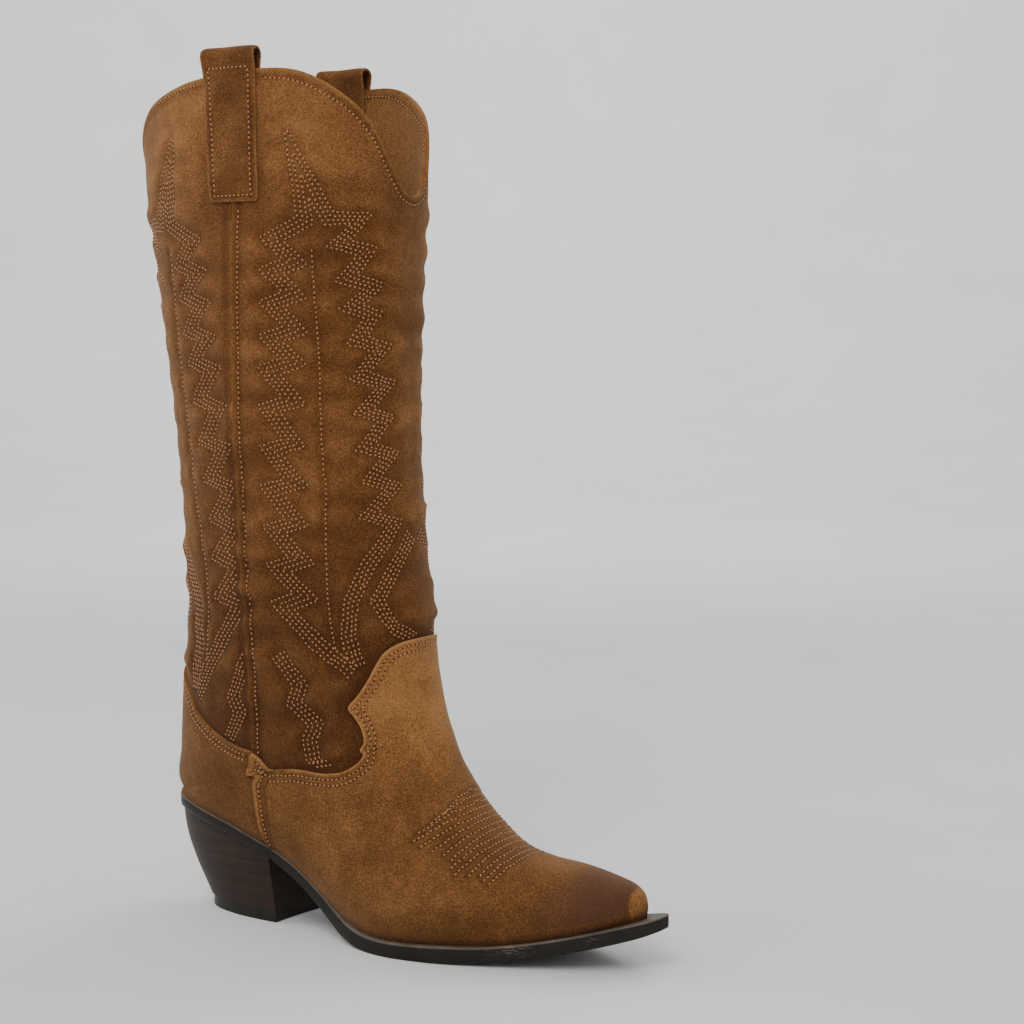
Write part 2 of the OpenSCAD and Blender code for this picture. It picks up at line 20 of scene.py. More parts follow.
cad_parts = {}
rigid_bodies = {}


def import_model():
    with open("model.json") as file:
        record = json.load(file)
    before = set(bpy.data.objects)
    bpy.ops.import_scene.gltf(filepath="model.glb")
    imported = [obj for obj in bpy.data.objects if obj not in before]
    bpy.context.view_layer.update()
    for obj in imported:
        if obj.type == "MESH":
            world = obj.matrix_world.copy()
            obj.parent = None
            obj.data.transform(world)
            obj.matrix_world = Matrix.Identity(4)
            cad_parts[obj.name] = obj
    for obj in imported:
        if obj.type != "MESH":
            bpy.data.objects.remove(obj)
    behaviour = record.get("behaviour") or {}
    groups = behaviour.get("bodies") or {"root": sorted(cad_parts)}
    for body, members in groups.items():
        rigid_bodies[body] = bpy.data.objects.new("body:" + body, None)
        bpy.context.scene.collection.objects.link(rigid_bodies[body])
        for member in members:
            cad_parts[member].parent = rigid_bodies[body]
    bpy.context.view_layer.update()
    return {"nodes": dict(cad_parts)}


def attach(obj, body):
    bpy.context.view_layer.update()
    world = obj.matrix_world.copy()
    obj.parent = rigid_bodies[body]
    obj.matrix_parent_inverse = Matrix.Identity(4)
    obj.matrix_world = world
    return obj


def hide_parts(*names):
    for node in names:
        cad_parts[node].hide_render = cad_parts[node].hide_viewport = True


bl_info = {
    "name": "Cowboy boot",
    "version": (1, 0, 0),
    "blender": (4, 5, 0),
    "location": "3D View > Sidebar > Boot",
    "description": "Builds the looks of a stitched suede cowboy boot",
    "category": "Add Mesh",
}

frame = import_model()
MM = 0.001

# ---------------------------------------------------------------- pattern
# Sections: station, front line x z, back line x z, half width.
STATION = [
    (0, 100, 440, -70, 440, 50), (1, 96, 375, -62, 375, 49.5),
    (2, 93, 318, -54, 318, 47), (3, 92, 262, -47, 262, 44.5),
    (4, 95, 212, -43, 212, 42), (5, 100, 172, -42, 165, 40),
    (6, 102.5, 146, -46, 118, 37.5), (7, 106, 127, -49, 86, 35),
    (8, 112, 107, -48, 62, 34), (9, 122, 85.5, -8, 50, 34.5),
    (10, 139, 64.2, 42, 34, 36), (11, 164, 48.8, 105, 9, 40),
    (12, 192, 44.8, 152, 11, 32.5), (13, 212.4, 41, 195.6, 19, 19.3),
    (13.6, 219.6, 38, 214.6, 24, 10.8), (14, 222.6, 35, 221.4, 26.5, 5),
    (14.4, 224.2, 32, 223.8, 28, 0.2)]
# Foot outline at the sole: x, half width, shift to the inner side.
FOOT = [
    (-48, 0, 0), (-45, 11.2, 0), (-37, 19, 0), (-20, 24.8, 0), (5, 26.8, 0),
    (30, 25.3, -1), (60, 25.8, -3.5), (85, 30.3, -5), (105, 35.3, -3.5),
    (125, 36.3, -0.5), (140, 34.8, 1.5), (160, 30.3, 2.5), (185, 22.3, 2.7),
    (204, 14.7, 2.8), (215.6, 9, 3.3), (221.6, 4.4, 4), (223.7, 0.3, 4.2)]
SOLE_TOP = [
    (-52, 60.8), (-37, 59.2), (-22, 55.8), (-2, 50.6), (12, 45.6), (26, 40.4),
    (42, 32.8), (58, 22.8), (70, 15.5), (80, 10.8), (92, 8.2), (112, 7.8),
    (135, 8.7), (154, 9.8), (172, 12.4), (195, 17.3), (217, 23.2),
    (238, 28.9)]
SOLE_LOW = [
    (28, 33.2), (40, 27), (53, 18.4), (63, 10.8), (74, 4.2), (84, 1.1),
    (95, 0), (128, 0), (140, 0.7), (154, 2.2), (172, 4.9), (189, 8.3),
    (206, 12.4), (223, 17.3), (233, 21), (238, 23.4)]
# Outsole outline: x, outer side reach, inner side reach.
SOLE_EDGE = [
    (-50.5, 0, 0), (-49.6, 7.5, 7.5), (-47.5, 13, 13), (-39, 21.5, 21.5),
    (-20, 27.3, 27.3), (5, 29.3, 29), (30, 29, 26.5), (60, 32.5, 24.5),
    (85, 40, 28.5), (105, 43.5, 34), (125, 41.5, 39), (140, 38, 40),
    (160, 32, 36.8), (185, 23.8, 29), (205, 16.5, 21.5), (219, 11, 17.4),
    (229, 6, 13.5), (234.5, 0.6, 9), (236.5, -4, 4.6)]
# Height of the top line by girth share, as a station.
TOP_LINE = [
    (0, 1.02), (0.04, 0.98), (0.07, 0.89), (0.105, 0.74), (0.14, 0.57),
    (0.19, 0.39), (0.25, 0.25), (0.31, 0.14), (0.36, 0.085), (0.42, 0.07),
    (0.5, 0.08), (0.58, 0.11), (0.64, 0.15), (0.75, 0.28), (0.85, 0.5),
    (0.93, 0.74), (1, 0.88)]
SIDE_SEAM = [
    (0, 0.48), (1.1, 0.487), (1.9, 0.503), (2.8, 0.522), (3.8, 0.54),
    (4.7, 0.55), (6, 0.54), (7.49, 0.545)]
JOIN_S = 7.49
SEAM_FOOT = 9.66
# Front edge of the vamp: station, share, share that its line ends at.
VAMP_EDGE = [
    (5.66, 0, 0), (5.665, 0.06, 0.055), (5.7, 0.12, 0.11),
    (5.84, 0.175, 0.16), (6.11, 0.21, 0.19), (6.42, 0.238, 0.215),
    (6.72, 0.268, 0.232), (6.96, 0.297, 0.243), (7.22, 0.285, 0.254),
    (7.53, 0.273, 0.267), (7.86, 0.275, 0.29), (8.15, 0.325, 0.33),
    (8.36, 0.39, 0.385), (8.44, 0.45, 0.43), (8.32, 0.495, 0.47),
    (7.98, 0.512, 0.505), (7.67, 0.527, 0.535), (7.49, 0.545, 0.56)]
COUNTER_EDGE = [
    (0.545, 7.49), (0.59, 7.27), (0.64, 6.99), (0.69, 6.68), (0.73, 6.44),
    (0.765, 6.18), (0.8, 6), (0.86, 5.85), (0.93, 5.75), (1, 5.7)]
SHAFT_END = [
    (0, 6.2), (0.14, 6.3), (0.2, 6.9), (0.24, 7.8), (0.28, 8.5), (0.36, 8.85),
    (0.44, 8.95), (0.5, 8.8), (0.545, 8.1), (0.6, 7.75), (0.65, 7.4),
    (0.7, 7.05), (0.75, 6.75), (0.8, 6.45), (0.86, 6.3), (0.93, 6.2),
    (1, 6.15)]
FACING_END = [
    (0, 1.5), (0.1, 1.36), (0.2, 1.12), (0.3, 0.96), (0.42, 0.9),
    (0.54, 0.92), (0.7, 1.02), (0.85, 1.22), (1, 1.4)]
# Heel: height, back x, half width, front x.
HEEL = [
    (0, -30.5, 22.3, 26), (6, -32.6, 22.8, 25.8), (15, -37.6, 23.7, 25.4),
    (23, -42, 24.7, 25), (37, -47.6, 26.6, 24.6), (50, -49.8, 28, 24.4),
    (70, -50, 28.4, 24.4)]
TOP_PIECE_T = 6.2
SEAT_T = 5.5
CAVITY = 1.5
SOCK_LOW = CAVITY + 2.6
PAD_RISE = 2.2
LEATHER_T = 1.35
GAP = 0.05
STRAP_T = (0.422, 0.54)
VAMP_END = 14.4
# The toe's burnish fades out between these X, before its pale tip.
TIP_X = (218.6, 219.8)
# Height of station 0, the drop from there to station 1, and how far below
# the top line its stitched row runs.
TOP_Z = 440
TOP_STEP = 65
TOP_ROW = 4.2
FAN_DECAY = 0.2
# Stitched figure on the flat panel: mm from the panel's middle line, mm
# below the top line. Teeth run out to one side of each band.
REAR_BAND = [
    (73.7, 34), (64.7, 79), (80, 87), (68.5, 99), (79.5, 103), (68, 115),
    (79, 119), (67, 132), (78.5, 136), (67, 148), (79, 152), (67, 167),
    (79, 171), (67, 188), (78.5, 192), (67, 208), (79.5, 212), (68, 228),
    (79.5, 232), (67.5, 247), (79.5, 251), (68, 265), (79.5, 269),
    (67, 285), (49, 305)]
FORE_BAND = [
    (80.3, 34), (53.3, 78), (36, 78), (48, 90), (32, 94), (43, 107),
    (27, 111), (40, 121), (27, 125), (36, 137), (21, 141), (34, 155),
    (17, 159), (32, 172), (18, 176), (31, 190), (15, 194), (29, 206),
    (15, 210), (32, 224), (16, 229), (36, 250), (47, 268), (50, 286),
    (47, 303)]
APEX = 34
MIDDLE_ROW = [(61, 92), (55, 146), (53, 213), (58, 266), (57, 292)]
SPEAR = [
    (84, 290), (76, 306), (80, 314), (73, 326), (78, 334), (80, 356)]
ANKLE_BAND = [(3, 234), (24, 256), (33, 268), (24, 284), (8, 292)]
BAND_ROWS = (-3.3, -1.1, 1.1, 3.3)


def smooth(table, x, column=1):
    """Smooth curve through the points of a table."""
    k = np.asarray(table, float)
    x = np.clip(np.asarray(x, float), k[0, 0], k[-1, 0])
    i = np.clip(np.searchsorted(k[:, 0], x, side="right") - 1, 0, len(k) - 2)
    a = np.maximum(i - 1, 0)
    d = np.minimum(i + 2, len(k) - 1)
    h = k[i + 1, 0] - k[i, 0]
    u = (x - k[i, 0]) / h
    y0, y1 = k[i, column], k[i + 1, column]
    m0 = h * (y1 - k[a, column]) / (k[i + 1, 0] - k[a, 0])
    m1 = h * (k[d, column] - y0) / (k[d, 0] - k[i, 0])
    return ((2 * u**3 - 3 * u**2 + 1) * y0 + (u**3 - 2 * u**2 + u) * m0
            + (3 * u**2 - 2 * u**3) * y1 + (u**3 - u**2) * m1)


def sole_z(x):
    return smooth(SOLE_TOP, x)


def raised(s, t, height=2.4):
    """Points a little outside the leather."""
    return spot(s, t) + outward(s, t) * height


def unit(v):
    return v / np.maximum(np.linalg.norm(v, axis=-1, keepdims=True), 1e-9)


def section(s):
    """Front x z, back x z, half width, end angle and shift of a section."""
    q = np.maximum(s, 0)
    fx, fz, bx, bz, w = (smooth(STATION, q, c) for c in range(1, 6))
    low = q > 8
    h = np.where(low, smooth(FOOT, bx, 1), 0)
    w = np.maximum(w, h)
    bz = np.where(low, sole_z(bx) + CAVITY, bz)
    end = np.pi - np.arcsin(np.clip(h / w, 0, 1))
    return fx, fz, bx, bz, w, end, np.where(low, smooth(FOOT, bx, 2), 0)


def spot(s, t):
    """Point of the surface at a station and a girth share."""
    s, t = np.broadcast_arrays(np.asarray(s, float), np.asarray(t, float))

    def point(s):
        fx, fz, bx, bz, w, end, shift = section(s)
        k = np.where((s <= 8) & (abs(t) > 1), t - 2 * np.sign(t),
                     np.clip(t, -1, 1))
        a = abs(k) * end
        u = (1 - np.cos(a)) / (1 - np.cos(end))
        y = np.where(k < 0, -1, 1) * w * np.maximum(np.sin(a), 0) ** 0.88
        return np.stack([fx + (bx - fx) * u, y + shift, fz + (bz - fz) * u],
                        -1)

    p = point(s)
    if (s < 0).any():
        rise = np.maximum(-s, 0)[..., None] / 0.1
        p = p + (point(s * 0) - point(s * 0 + 0.1)) * rise
    return p


def outward(s, t):
    """Direction that points out of the leather."""
    s, t = np.broadcast_arrays(np.asarray(s, float), np.asarray(t, float))
    q = np.maximum(s, 0)
    n = unit(np.cross(spot(q + 0.04, t) - spot(np.maximum(s - 0.04, 0), t),
                      spot(q, t + 0.012) - spot(q, t - 0.012)))
    n[..., 0] += 6 * np.maximum(s - 13.7, 0)
    return unit(n)


def share_at(s, x):
    fx, _, bx, _, _, end, _ = section(s)
    u = np.clip((x - fx) / (bx - fx), 0, 1)
    return np.arccos(1 - u * (1 - np.cos(end))) / end


JOIN_X = float(spot(JOIN_S, 0.545)[0])
FOOT_X = float(smooth(STATION, SEAM_FOOT, 3))


def seam(s):
    """Girth share of the side seam, which runs on to the sole line."""
    x = JOIN_X + (FOOT_X - JOIN_X) * (s - JOIN_S) / (SEAM_FOOT - JOIN_S)
    return np.where(s <= JOIN_S, smooth(SIDE_SEAM, s),
                    np.where(s >= SEAM_FOOT, 1, share_at(s, x)))


def turned(s, t, m):
    """The leather turned in under the insole by m, and its direction."""
    p, n = spot(s, t), outward(s, t)
    f = n * [1, 1, 0]
    half = abs(p[..., 1] - section(s)[6])
    d = np.where(s > 10, np.minimum(m, np.where(m < 2, 0.3, 0.7) * half), m)
    p = p - unit(f) * d[..., None]
    p[..., 2] = sole_z(p[..., 0]) + CAVITY
    return p, np.broadcast_to([0.0, 0.0, -1.0], p.shape)


def ease(x, low, high):
    """0 below low, 1 above high, smooth between."""
    u = np.clip((x - low) / (high - low), 0, 1)
    return u * u * (3 - 2 * u)


def swell(p, size, seed):
    """Even, repeatable noise from -1 to 1 at points p, size mm a wave."""
    return np.array([noise.noise(Vector(q) / size + Vector((seed, 0, 0)))
                     for q in p])


def nearest(points):
    """A function that gives the distance from other points to these."""
    tree = KDTree(len(points))
    for i, p in enumerate(points):
        tree.insert(p, i)
    tree.balance()
    return lambda q: np.array([tree.find(v)[2] for v in q])


def walk(points, step):
    """The points of a line at equal steps."""
    p = np.asarray(points, float)
    length = np.concatenate([[0], np.cumsum(
        np.linalg.norm(np.diff(p, axis=0), axis=1))])
    n = max(int(round(length[-1] / step)), 1)
    at = (np.arange(n) + 0.5) * length[-1] / n
    q = np.stack([np.interp(at, length, p[:, c]) for c in range(p.shape[1])],
                 -1)
    return q


# ------------------------------------------------------------- flat panels
FLAT_S = np.linspace(0, 9.4, 95)
FLAT_T = np.linspace(0, 1, 61)


def flat_tables():
    """Half girth by station, and distance down the panel by station."""
    s, t = np.meshgrid(FLAT_S, FLAT_T, indexing="ij")
    p = spot(s, t)
    girth = np.linalg.norm(np.diff(p, axis=1), axis=2).sum(1)
    down = np.linalg.norm(np.diff(p[:, 18], axis=0), axis=1)
    return girth, np.concatenate([[0], np.cumsum(down)])


GIRTH, DOWN = flat_tables()


def to_surface(flat, side, back):
    """Flat panel points to stations and shares on one side of the leg."""
    flat = np.asarray(flat, float)
    s = np.interp(flat[:, 1], DOWN, FLAT_S)
    t = flat[:, 0] / np.interp(s, FLAT_S, GIRTH)
    return np.stack([s, side * (1 - t if back else t)], -1)


def beside(line, d):
    """A line moved sideways by d, with its sharp turns kept short."""
    p = np.asarray(line, float)
    seg = unit(np.diff(p, axis=0))
    first, last = np.vstack([seg[:1], seg]), np.vstack([seg, seg[-1:]])
    n0 = np.stack([-first[:, 1], first[:, 0]], -1)
    n1 = np.stack([-last[:, 1], last[:, 0]], -1)
    m = unit(n0 + n1)
    reach = 1 / np.maximum((m * n0).sum(1), 0.56)
    return p + m * (d * reach)[:, None]


def rim_table():
    rim = list(VAMP_EDGE)
    for i in range(1, 9):
        s = JOIN_S + (SEAM_FOOT - JOIN_S) * i / 8
        a = float(seam(s))
        rim.append((s, a, a * 0.965 + 0.035))
    return np.array(rim)


RIM = rim_table()
RIM_N = len(RIM) - 1


def rim_at(e):
    """Station, share and end share of the vamp's edge at place e."""
    table = np.column_stack([np.arange(RIM_N + 1), RIM])
    soft = e <= 16
    return [np.where(soft, smooth(table, e, c),
                     np.interp(e, table[:, 0], table[:, c]))
            for c in (1, 2, 3)]


def rim_line(count, side):
    """Points of the vamp's edge, evenly spaced, from tongue to sole."""
    e = np.linspace(0, RIM_N, 600)
    s, t, _ = rim_at(e)
    p = spot(s, side * t)
    run = np.concatenate([[0], np.cumsum(
        np.linalg.norm(np.diff(p, axis=0), axis=1))])
    return np.interp(np.linspace(0, run[-1], count), run, e)


def counter_edge(t):
    return smooth(COUNTER_EDGE, abs(t))


def covered(s, t):
    """True where the vamp or the counter cover lies over the leg panel."""
    t = abs(np.asarray(t, float))
    s = np.asarray(s, float)
    edge_s = np.concatenate([RIM[:18, 0], [15, 15]])
    edge_t = np.concatenate([RIM[:18, 1], [0.545, 0]])
    inside = np.zeros(np.broadcast(s, t).shape, bool)
    for i in range(len(edge_s)):
        s0, t0, s1, t1 = (edge_s[i - 1], edge_t[i - 1], edge_s[i], edge_t[i])
        if t0 == t1:
            continue
        cross = ((t0 > t) != (t1 > t)) & (
            s < (s1 - s0) * (t - t0) / (t1 - t0) + s0)
        inside ^= cross
    return inside | ((t >= 0.545) & (s > counter_edge(t)))


def figure_lines(side, back):
    """All stitch rows of one figure, as stations and shares."""
    lines = []
    for band, out in ((REAR_BAND, -1), (FORE_BAND, 1)):
        for rank, d in enumerate(BAND_ROWS[::-1]):
            row = walk(beside(band, d * out), 1.0)
            lines.append(row[row[:, 1] > APEX + 10.8 * rank])
    lines.append(MIDDLE_ROW)
    lines += [beside(SPEAR, d) for d in (-3, -1, 1, 3)]
    lines += [beside(ANKLE_BAND, d) for d in BAND_ROWS]
    return [to_surface(walk(line, 1.0), side, back) for line in lines]


def figure_points():
    """Points of every figure row, for the hollows that the rows press."""
    rows = [line for side in (-1, 1) for back in (False, True)
            for line in figure_lines(side, back)]
    st = np.vstack(rows)[::2]
    return spot(st[:, 0], st[:, 1])


ROW_DISTANCE = nearest(figure_points())


def edge_points():
    e = np.linspace(0, RIM_N, 240)
    s, t, _ = rim_at(e)
    h = np.linspace(0.545, 1, 90)
    return np.vstack([spot(s, t), spot(s, -t), spot(counter_edge(h), h),
                      spot(counter_edge(h), -h)])


EDGE_DISTANCE = nearest(edge_points())


def puff(s, t, p, depth):
    """How far the quilted leg leather stands out at each point."""
    row = ROW_DISTANCE(p)
    tight = np.exp(-((row / 3.4) ** 2))
    near = np.exp(-((row / 11) ** 2))
    down = np.interp(s, FLAT_S, DOWN)
    drift = swell(p, 46, 3.1)
    pucker = np.sin(2 * np.pi * (down + 7 * drift) / 17.0)
    crease = swell(p * [0.5, 0.5, 1.0], 15, 7.7)
    broad = swell(p * [0.6, 0.6, 1.0], 30, 11.3)
    slack = ease(s, 2.6, 4.6) * (1 - 0.35 * ease(s, 6.2, 7.2))
    behind = ease(abs(t), 0.6, 0.95)
    d = (0.8 + 1.0 * near * pucker + 0.9 * crease
         + (0.9 + 1.3 * slack + 0.8 * slack * behind) * broad
         + 0.6 * near) * (1 - 0.75 * tight)
    edge = EDGE_DISTANCE(p)
    free = ease(edge, 1.5, 11) * np.where(covered(s, t), 0, 1)
    strap = ease(abs(abs(t) - 0.481), 0.066, 0.09)
    strap = np.maximum(strap, ease(s, 1.12, 1.35))
    top = ease(s - smooth(TOP_LINE, abs(t)), 0.04, 0.5)
    d = np.maximum(d, -0.15) * free * strap * top
    return d * depth, tight, edge


# ------------------------------------------------------------- mesh makers
def grid_sheet(name, cols, rows, shape):
    """A grid, extruded once and carried to its place by shape(u, v, w),
    where w is 0 on the inside and 1 on the outside."""
    bm = bmesh.new()
    bmesh.ops.create_grid(bm, x_segments=cols, y_segments=rows, size=0.5)
    made = bmesh.ops.extrude_face_region(bm, geom=bm.faces[:])
    raised = [v for v in made["geom"] if isinstance(v, bmesh.types.BMVert)]
    bmesh.ops.translate(bm, verts=raised, vec=(0, 0, 1))
    co = np.array([v.co for v in bm.verts])
    p, marks = shape(co[:, 0] + 0.5, co[:, 1] + 0.5, co[:, 2])
    for v, q in zip(bm.verts, p * MM):
        v.co = q
    for key, values in marks.items():
        layer = bm.verts.layers.float.new(key)
        for v, a in zip(bm.verts, values):
            v[layer] = float(a)
    bmesh.ops.remove_doubles(bm, verts=bm.verts[:], dist=2e-6)
    bmesh.ops.recalc_face_normals(bm, faces=bm.faces[:])
    return finish_piece(name, bm)


def finish_piece(name, bm, sharp=50):
    """Turns a bmesh into a smooth-shaded object at the origin."""
    for f in bm.faces:
        f.smooth = True
    for e in bm.edges:
        if len(e.link_faces) == 2 and e.calc_face_angle(0) > math.radians(
                sharp):
            e.smooth = False
    mesh = bpy.data.meshes.new(name)
    bm.to_mesh(mesh)
    bm.free()
    obj = bpy.data.objects.new(name, mesh)
    bpy.context.scene.collection.objects.link(obj)
    return obj


def register_piece(obj, material, slot, *nodes):
    obj.data.materials.append(material)
    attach(obj, "root")
    if nodes:
        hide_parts(*nodes)
    return obj


def rim_round(u, v, depth=0.4):
    """A little less height on a sheet's outermost line."""
    edge = (u < 1e-4) | (u > 1 - 1e-4) | (v < 1e-4) | (v > 1 - 1e-4)
    return np.where(edge, depth, 0)


# --------------------------------------------------------------- materials
def linear(code):
    """An sRGB hex value as the linear colour that a shader takes."""
    c = [int(code[i:i + 2], 16) / 255 for i in (1, 3, 5)]
    return (*[x / 12.92 if x <= 0.04045 else ((x + 0.055) / 1.055) ** 2.4
              for x in c], 1)


def add(tree, kind, links=(), **settings):
    """Adds a node, with its settings and what goes into its sockets."""
    n = tree.nodes.new(kind)
    for key, value in settings.items():
        setattr(n, key, value)
    for socket, value in dict(links).items():
        if isinstance(value, bpy.types.NodeSocket):
            tree.links.new(value, n.inputs[socket])
        else:
            n.inputs[socket].default_value = value
    return n


def start(name, **values):
    """A new material, its node tree, shader and Object coordinates."""
    m = bpy.data.materials.new(name)
    m.use_nodes = True
    tree = m.node_tree
    shader = tree.nodes["Principled BSDF"]
    for key, value in values.items():
        shader.inputs[key.replace("_", " ")].default_value = value
    where = add(tree, "ShaderNodeTexCoord").outputs["Object"]
    return m, tree, shader, where


def suede(name, light, middle, dark, burnt, nap=1.0, attribute=True):
    """Split cow suede, brushed: a velvet nap with no gloss, lighter and
    darker where a hand has laid the fibres, with a sheen at grazing.
    Each piece adds painted light and shade on top, which moves the
    colour along the same ramp: towards the raised nap colour in painted
    light and towards the laid nap colour in painted shade."""
    m, tree, shader, where = start(
        name, Roughness=0.94, IOR=1.45, Specular_IOR_Level=0.18,
        Sheen_Weight=0.32, Sheen_Roughness=0.4,
        Sheen_Tint=linear("#d9b896"))
    # Hand-sized patches of laid nap, 40 mm; brush marks, 8 mm; fibre
    # clumps, 0.7 mm, coarser than the real 0.3 mm so that they show.
    patch = add(tree, "ShaderNodeTexNoise", {
        "Vector": where, "Scale": 25.0, "Detail": 3.0, "Roughness": 0.55})
    brush = add(tree, "ShaderNodeTexNoise", {
        "Vector": where, "Scale": 125.0, "Detail": 3.0, "Roughness": 0.6,
        "Distortion": 0.6})
    fibre = add(tree, "ShaderNodeTexNoise", {
        "Vector": where, "Scale": 1450.0, "Detail": 3.0, "Roughness": 0.75})
    low = add(tree, "ShaderNodeMath", {0: patch.outputs[0], 1: 0.4 * nap,
              2: 0.5 - 0.2 * nap}, operation="MULTIPLY_ADD")
    mid = add(tree, "ShaderNodeMath", {0: brush.outputs[0], 1: 0.26,
              2: low.outputs[0]}, operation="MULTIPLY_ADD")
    fine = add(tree, "ShaderNodeMath", {0: fibre.outputs[0], 1: 1.6,
               2: mid.outputs[0]}, operation="MULTIPLY_ADD")
    value = add(tree, "ShaderNodeMath", {0: fine.outputs[0], 1: -0.93},
                operation="ADD").outputs[0]
    if attribute:
        # Painted light and shade carried by each piece shifts the colour along
        # the ramp.
        tone = add(tree, "ShaderNodeAttribute", attribute_name="tone")
        value = add(tree, "ShaderNodeMath", {0: tone.outputs["Fac"], 1: 0.5,
                    2: value}, operation="MULTIPLY_ADD").outputs[0]
    ramp = add(tree, "ShaderNodeValToRGB", {"Fac": value})
    steps = ramp.color_ramp.elements
    steps[0].position, steps[0].color = 0.12, linear(dark)
    steps[1].position, steps[1].color = 0.92, linear(light)
    steps.new(0.5).color = linear(middle)
    colour = ramp.outputs[0]
    if attribute:
        burn = add(tree, "ShaderNodeAttribute", attribute_name="burn")
        ragged = add(tree, "ShaderNodeMath", {0: brush.outputs[0], 1: 0.7,
                     2: -0.35}, operation="MULTIPLY_ADD")
        amount = add(tree, "ShaderNodeMath", {0: burn.outputs["Fac"],
                     1: ragged.outputs[0]}, operation="ADD")
        masked = add(tree, "ShaderNodeMath", {0: amount.outputs[0],
                     1: burn.outputs["Fac"]}, operation="MULTIPLY",
                     use_clamp=True)
        colour = add(tree, "ShaderNodeMix", {
            0: masked.outputs[0], 6: colour, 7: linear(burnt)},
            data_type="RGBA").outputs[2]
    tree.links.new(colour, shader.inputs["Base Color"])
    rise = add(tree, "ShaderNodeMath", {0: fibre.outputs[0], 1: 0.6,
               2: mid.outputs[0]}, operation="MULTIPLY_ADD")
    bump = add(tree, "ShaderNodeBump", {
        "Height": rise.outputs[0], "Strength": 0.75, "Distance": 0.0006})
    tree.links.new(bump.outputs[0], shader.inputs["Normal"])
    return m


def thread(name, colour, shadow):
    """Bonded polyester thread, three plies: soft gloss and a fine twist."""
    m, tree, shader, where = start(name, Roughness=0.55, IOR=1.5,
                                   Sheen_Weight=0.15)
    twist = add(tree, "ShaderNodeTexNoise", {
        "Vector": where, "Scale": 1500.0, "Detail": 2.0})
    ramp = add(tree, "ShaderNodeValToRGB", {"Fac": twist.outputs[0]})
    ramp.color_ramp.elements[0].position = 0.3
    ramp.color_ramp.elements[0].color = linear(shadow)
    ramp.color_ramp.elements[1].position = 0.6
    ramp.color_ramp.elements[1].color = linear(colour)
    tree.links.new(ramp.outputs[0], shader.inputs["Base Color"])
    bump = add(tree, "ShaderNodeBump", {
        "Height": twist.outputs[0], "Strength": 0.4, "Distance": 0.0002})
    tree.links.new(bump.outputs[0], shader.inputs["Normal"])
    return m


def textile(name, light, dark):
    """Knitted polyester lining: a close mesh of 1.6 mm loops, matt."""
    m, tree, shader, where = start(name, Roughness=0.9, Sheen_Weight=0.2,
                                   Specular_IOR_Level=0.25)
    cells = add(tree, "ShaderNodeTexVoronoi", {
        "Vector": where, "Scale": 620.0, "Randomness": 0.35})
    wide = add(tree, "ShaderNodeTexNoise", {
        "Vector": where, "Scale": 60.0, "Detail": 2.0})
    both = add(tree, "ShaderNodeMath", {0: wide.outputs[0], 1: 0.35,
               2: cells.outputs["Distance"]}, operation="MULTIPLY_ADD")
    ramp = add(tree, "ShaderNodeValToRGB", {"Fac": both.outputs[0]})
    ramp.color_ramp.elements[0].position = 0.25
    ramp.color_ramp.elements[0].color = linear(light)
    ramp.color_ramp.elements[1].position = 0.85
    ramp.color_ramp.elements[1].color = linear(dark)
    tree.links.new(ramp.outputs[0], shader.inputs["Base Color"])
    bump = add(tree, "ShaderNodeBump", {
        "Height": cells.outputs["Distance"], "Strength": 0.6,
        "Distance": 0.0005}, invert=True)
    tree.links.new(bump.outputs[0], shader.inputs["Normal"])
    return m


def sole_finish(name, light, dark, worn):
    """Moulded rubber with edge ink: near black, half matt, with a paler
    line where the top corner has rubbed and a few chalky scuffs."""
    m, tree, shader, where = start(name, Roughness=0.42, IOR=1.5,
                                   Specular_IOR_Level=0.2)
    cloud = add(tree, "ShaderNodeTexNoise", {
        "Vector": where, "Scale": 70.0, "Detail": 5.0, "Roughness": 0.65})
    ramp = add(tree, "ShaderNodeValToRGB", {"Fac": cloud.outputs[0]})
    ramp.color_ramp.elements[0].position = 0.3
    ramp.color_ramp.elements[0].color = linear(dark)
    ramp.color_ramp.elements[1].position = 0.75
    ramp.color_ramp.elements[1].color = linear(light)
    rim = add(tree, "ShaderNodeAttribute", attribute_name="rim")
    scuff = add(tree, "ShaderNodeAttribute", attribute_name="scuff")
    # Scuffs are 2 to 6 mm streaks along the edge.
    streak = add(tree, "ShaderNodeTexNoise", {
        "Vector": add(tree, "ShaderNodeMapping", {
            "Vector": where, "Scale": (190.0, 190.0, 1500.0)}).outputs[0],
        "Scale": 1.0, "Detail": 4.0, "Roughness": 0.7})
    corner = add(tree, "ShaderNodeMapRange", {
        0: rim.outputs["Fac"], 1: 0.86, 2: 0.97}, clamp=True)
    rubbed = add(tree, "ShaderNodeMath", {0: corner.outputs[0],
                 1: cloud.outputs[0]}, operation="MULTIPLY")
    torn = add(tree, "ShaderNodeMath", {0: streak.outputs[0], 1: 0.56},
               operation="GREATER_THAN")
    marks = add(tree, "ShaderNodeMath", {0: torn.outputs[0],
                1: scuff.outputs["Fac"]}, operation="MULTIPLY")
    both = add(tree, "ShaderNodeMath", {0: rubbed.outputs[0],
               1: marks.outputs[0]}, operation="MAXIMUM", use_clamp=True)
    colour = add(tree, "ShaderNodeMix", {
        0: both.outputs[0], 6: ramp.outputs[0], 7: linear(worn)},
        data_type="RGBA")
    tree.links.new(colour.outputs[2], shader.inputs["Base Color"])
    rough = add(tree, "ShaderNodeMath", {0: both.outputs[0], 1: 0.35,
                2: 0.36}, operation="MULTIPLY_ADD")
    tree.links.new(rough.outputs[0], shader.inputs["Roughness"])
    grain = add(tree, "ShaderNodeTexNoise", {
        "Vector": where, "Scale": 800.0, "Detail": 2.0})
    bump = add(tree, "ShaderNodeBump", {
        "Height": grain.outputs[0], "Strength": 0.25, "Distance": 0.0003})
    tree.links.new(bump.outputs[0], shader.inputs["Normal"])
    return m


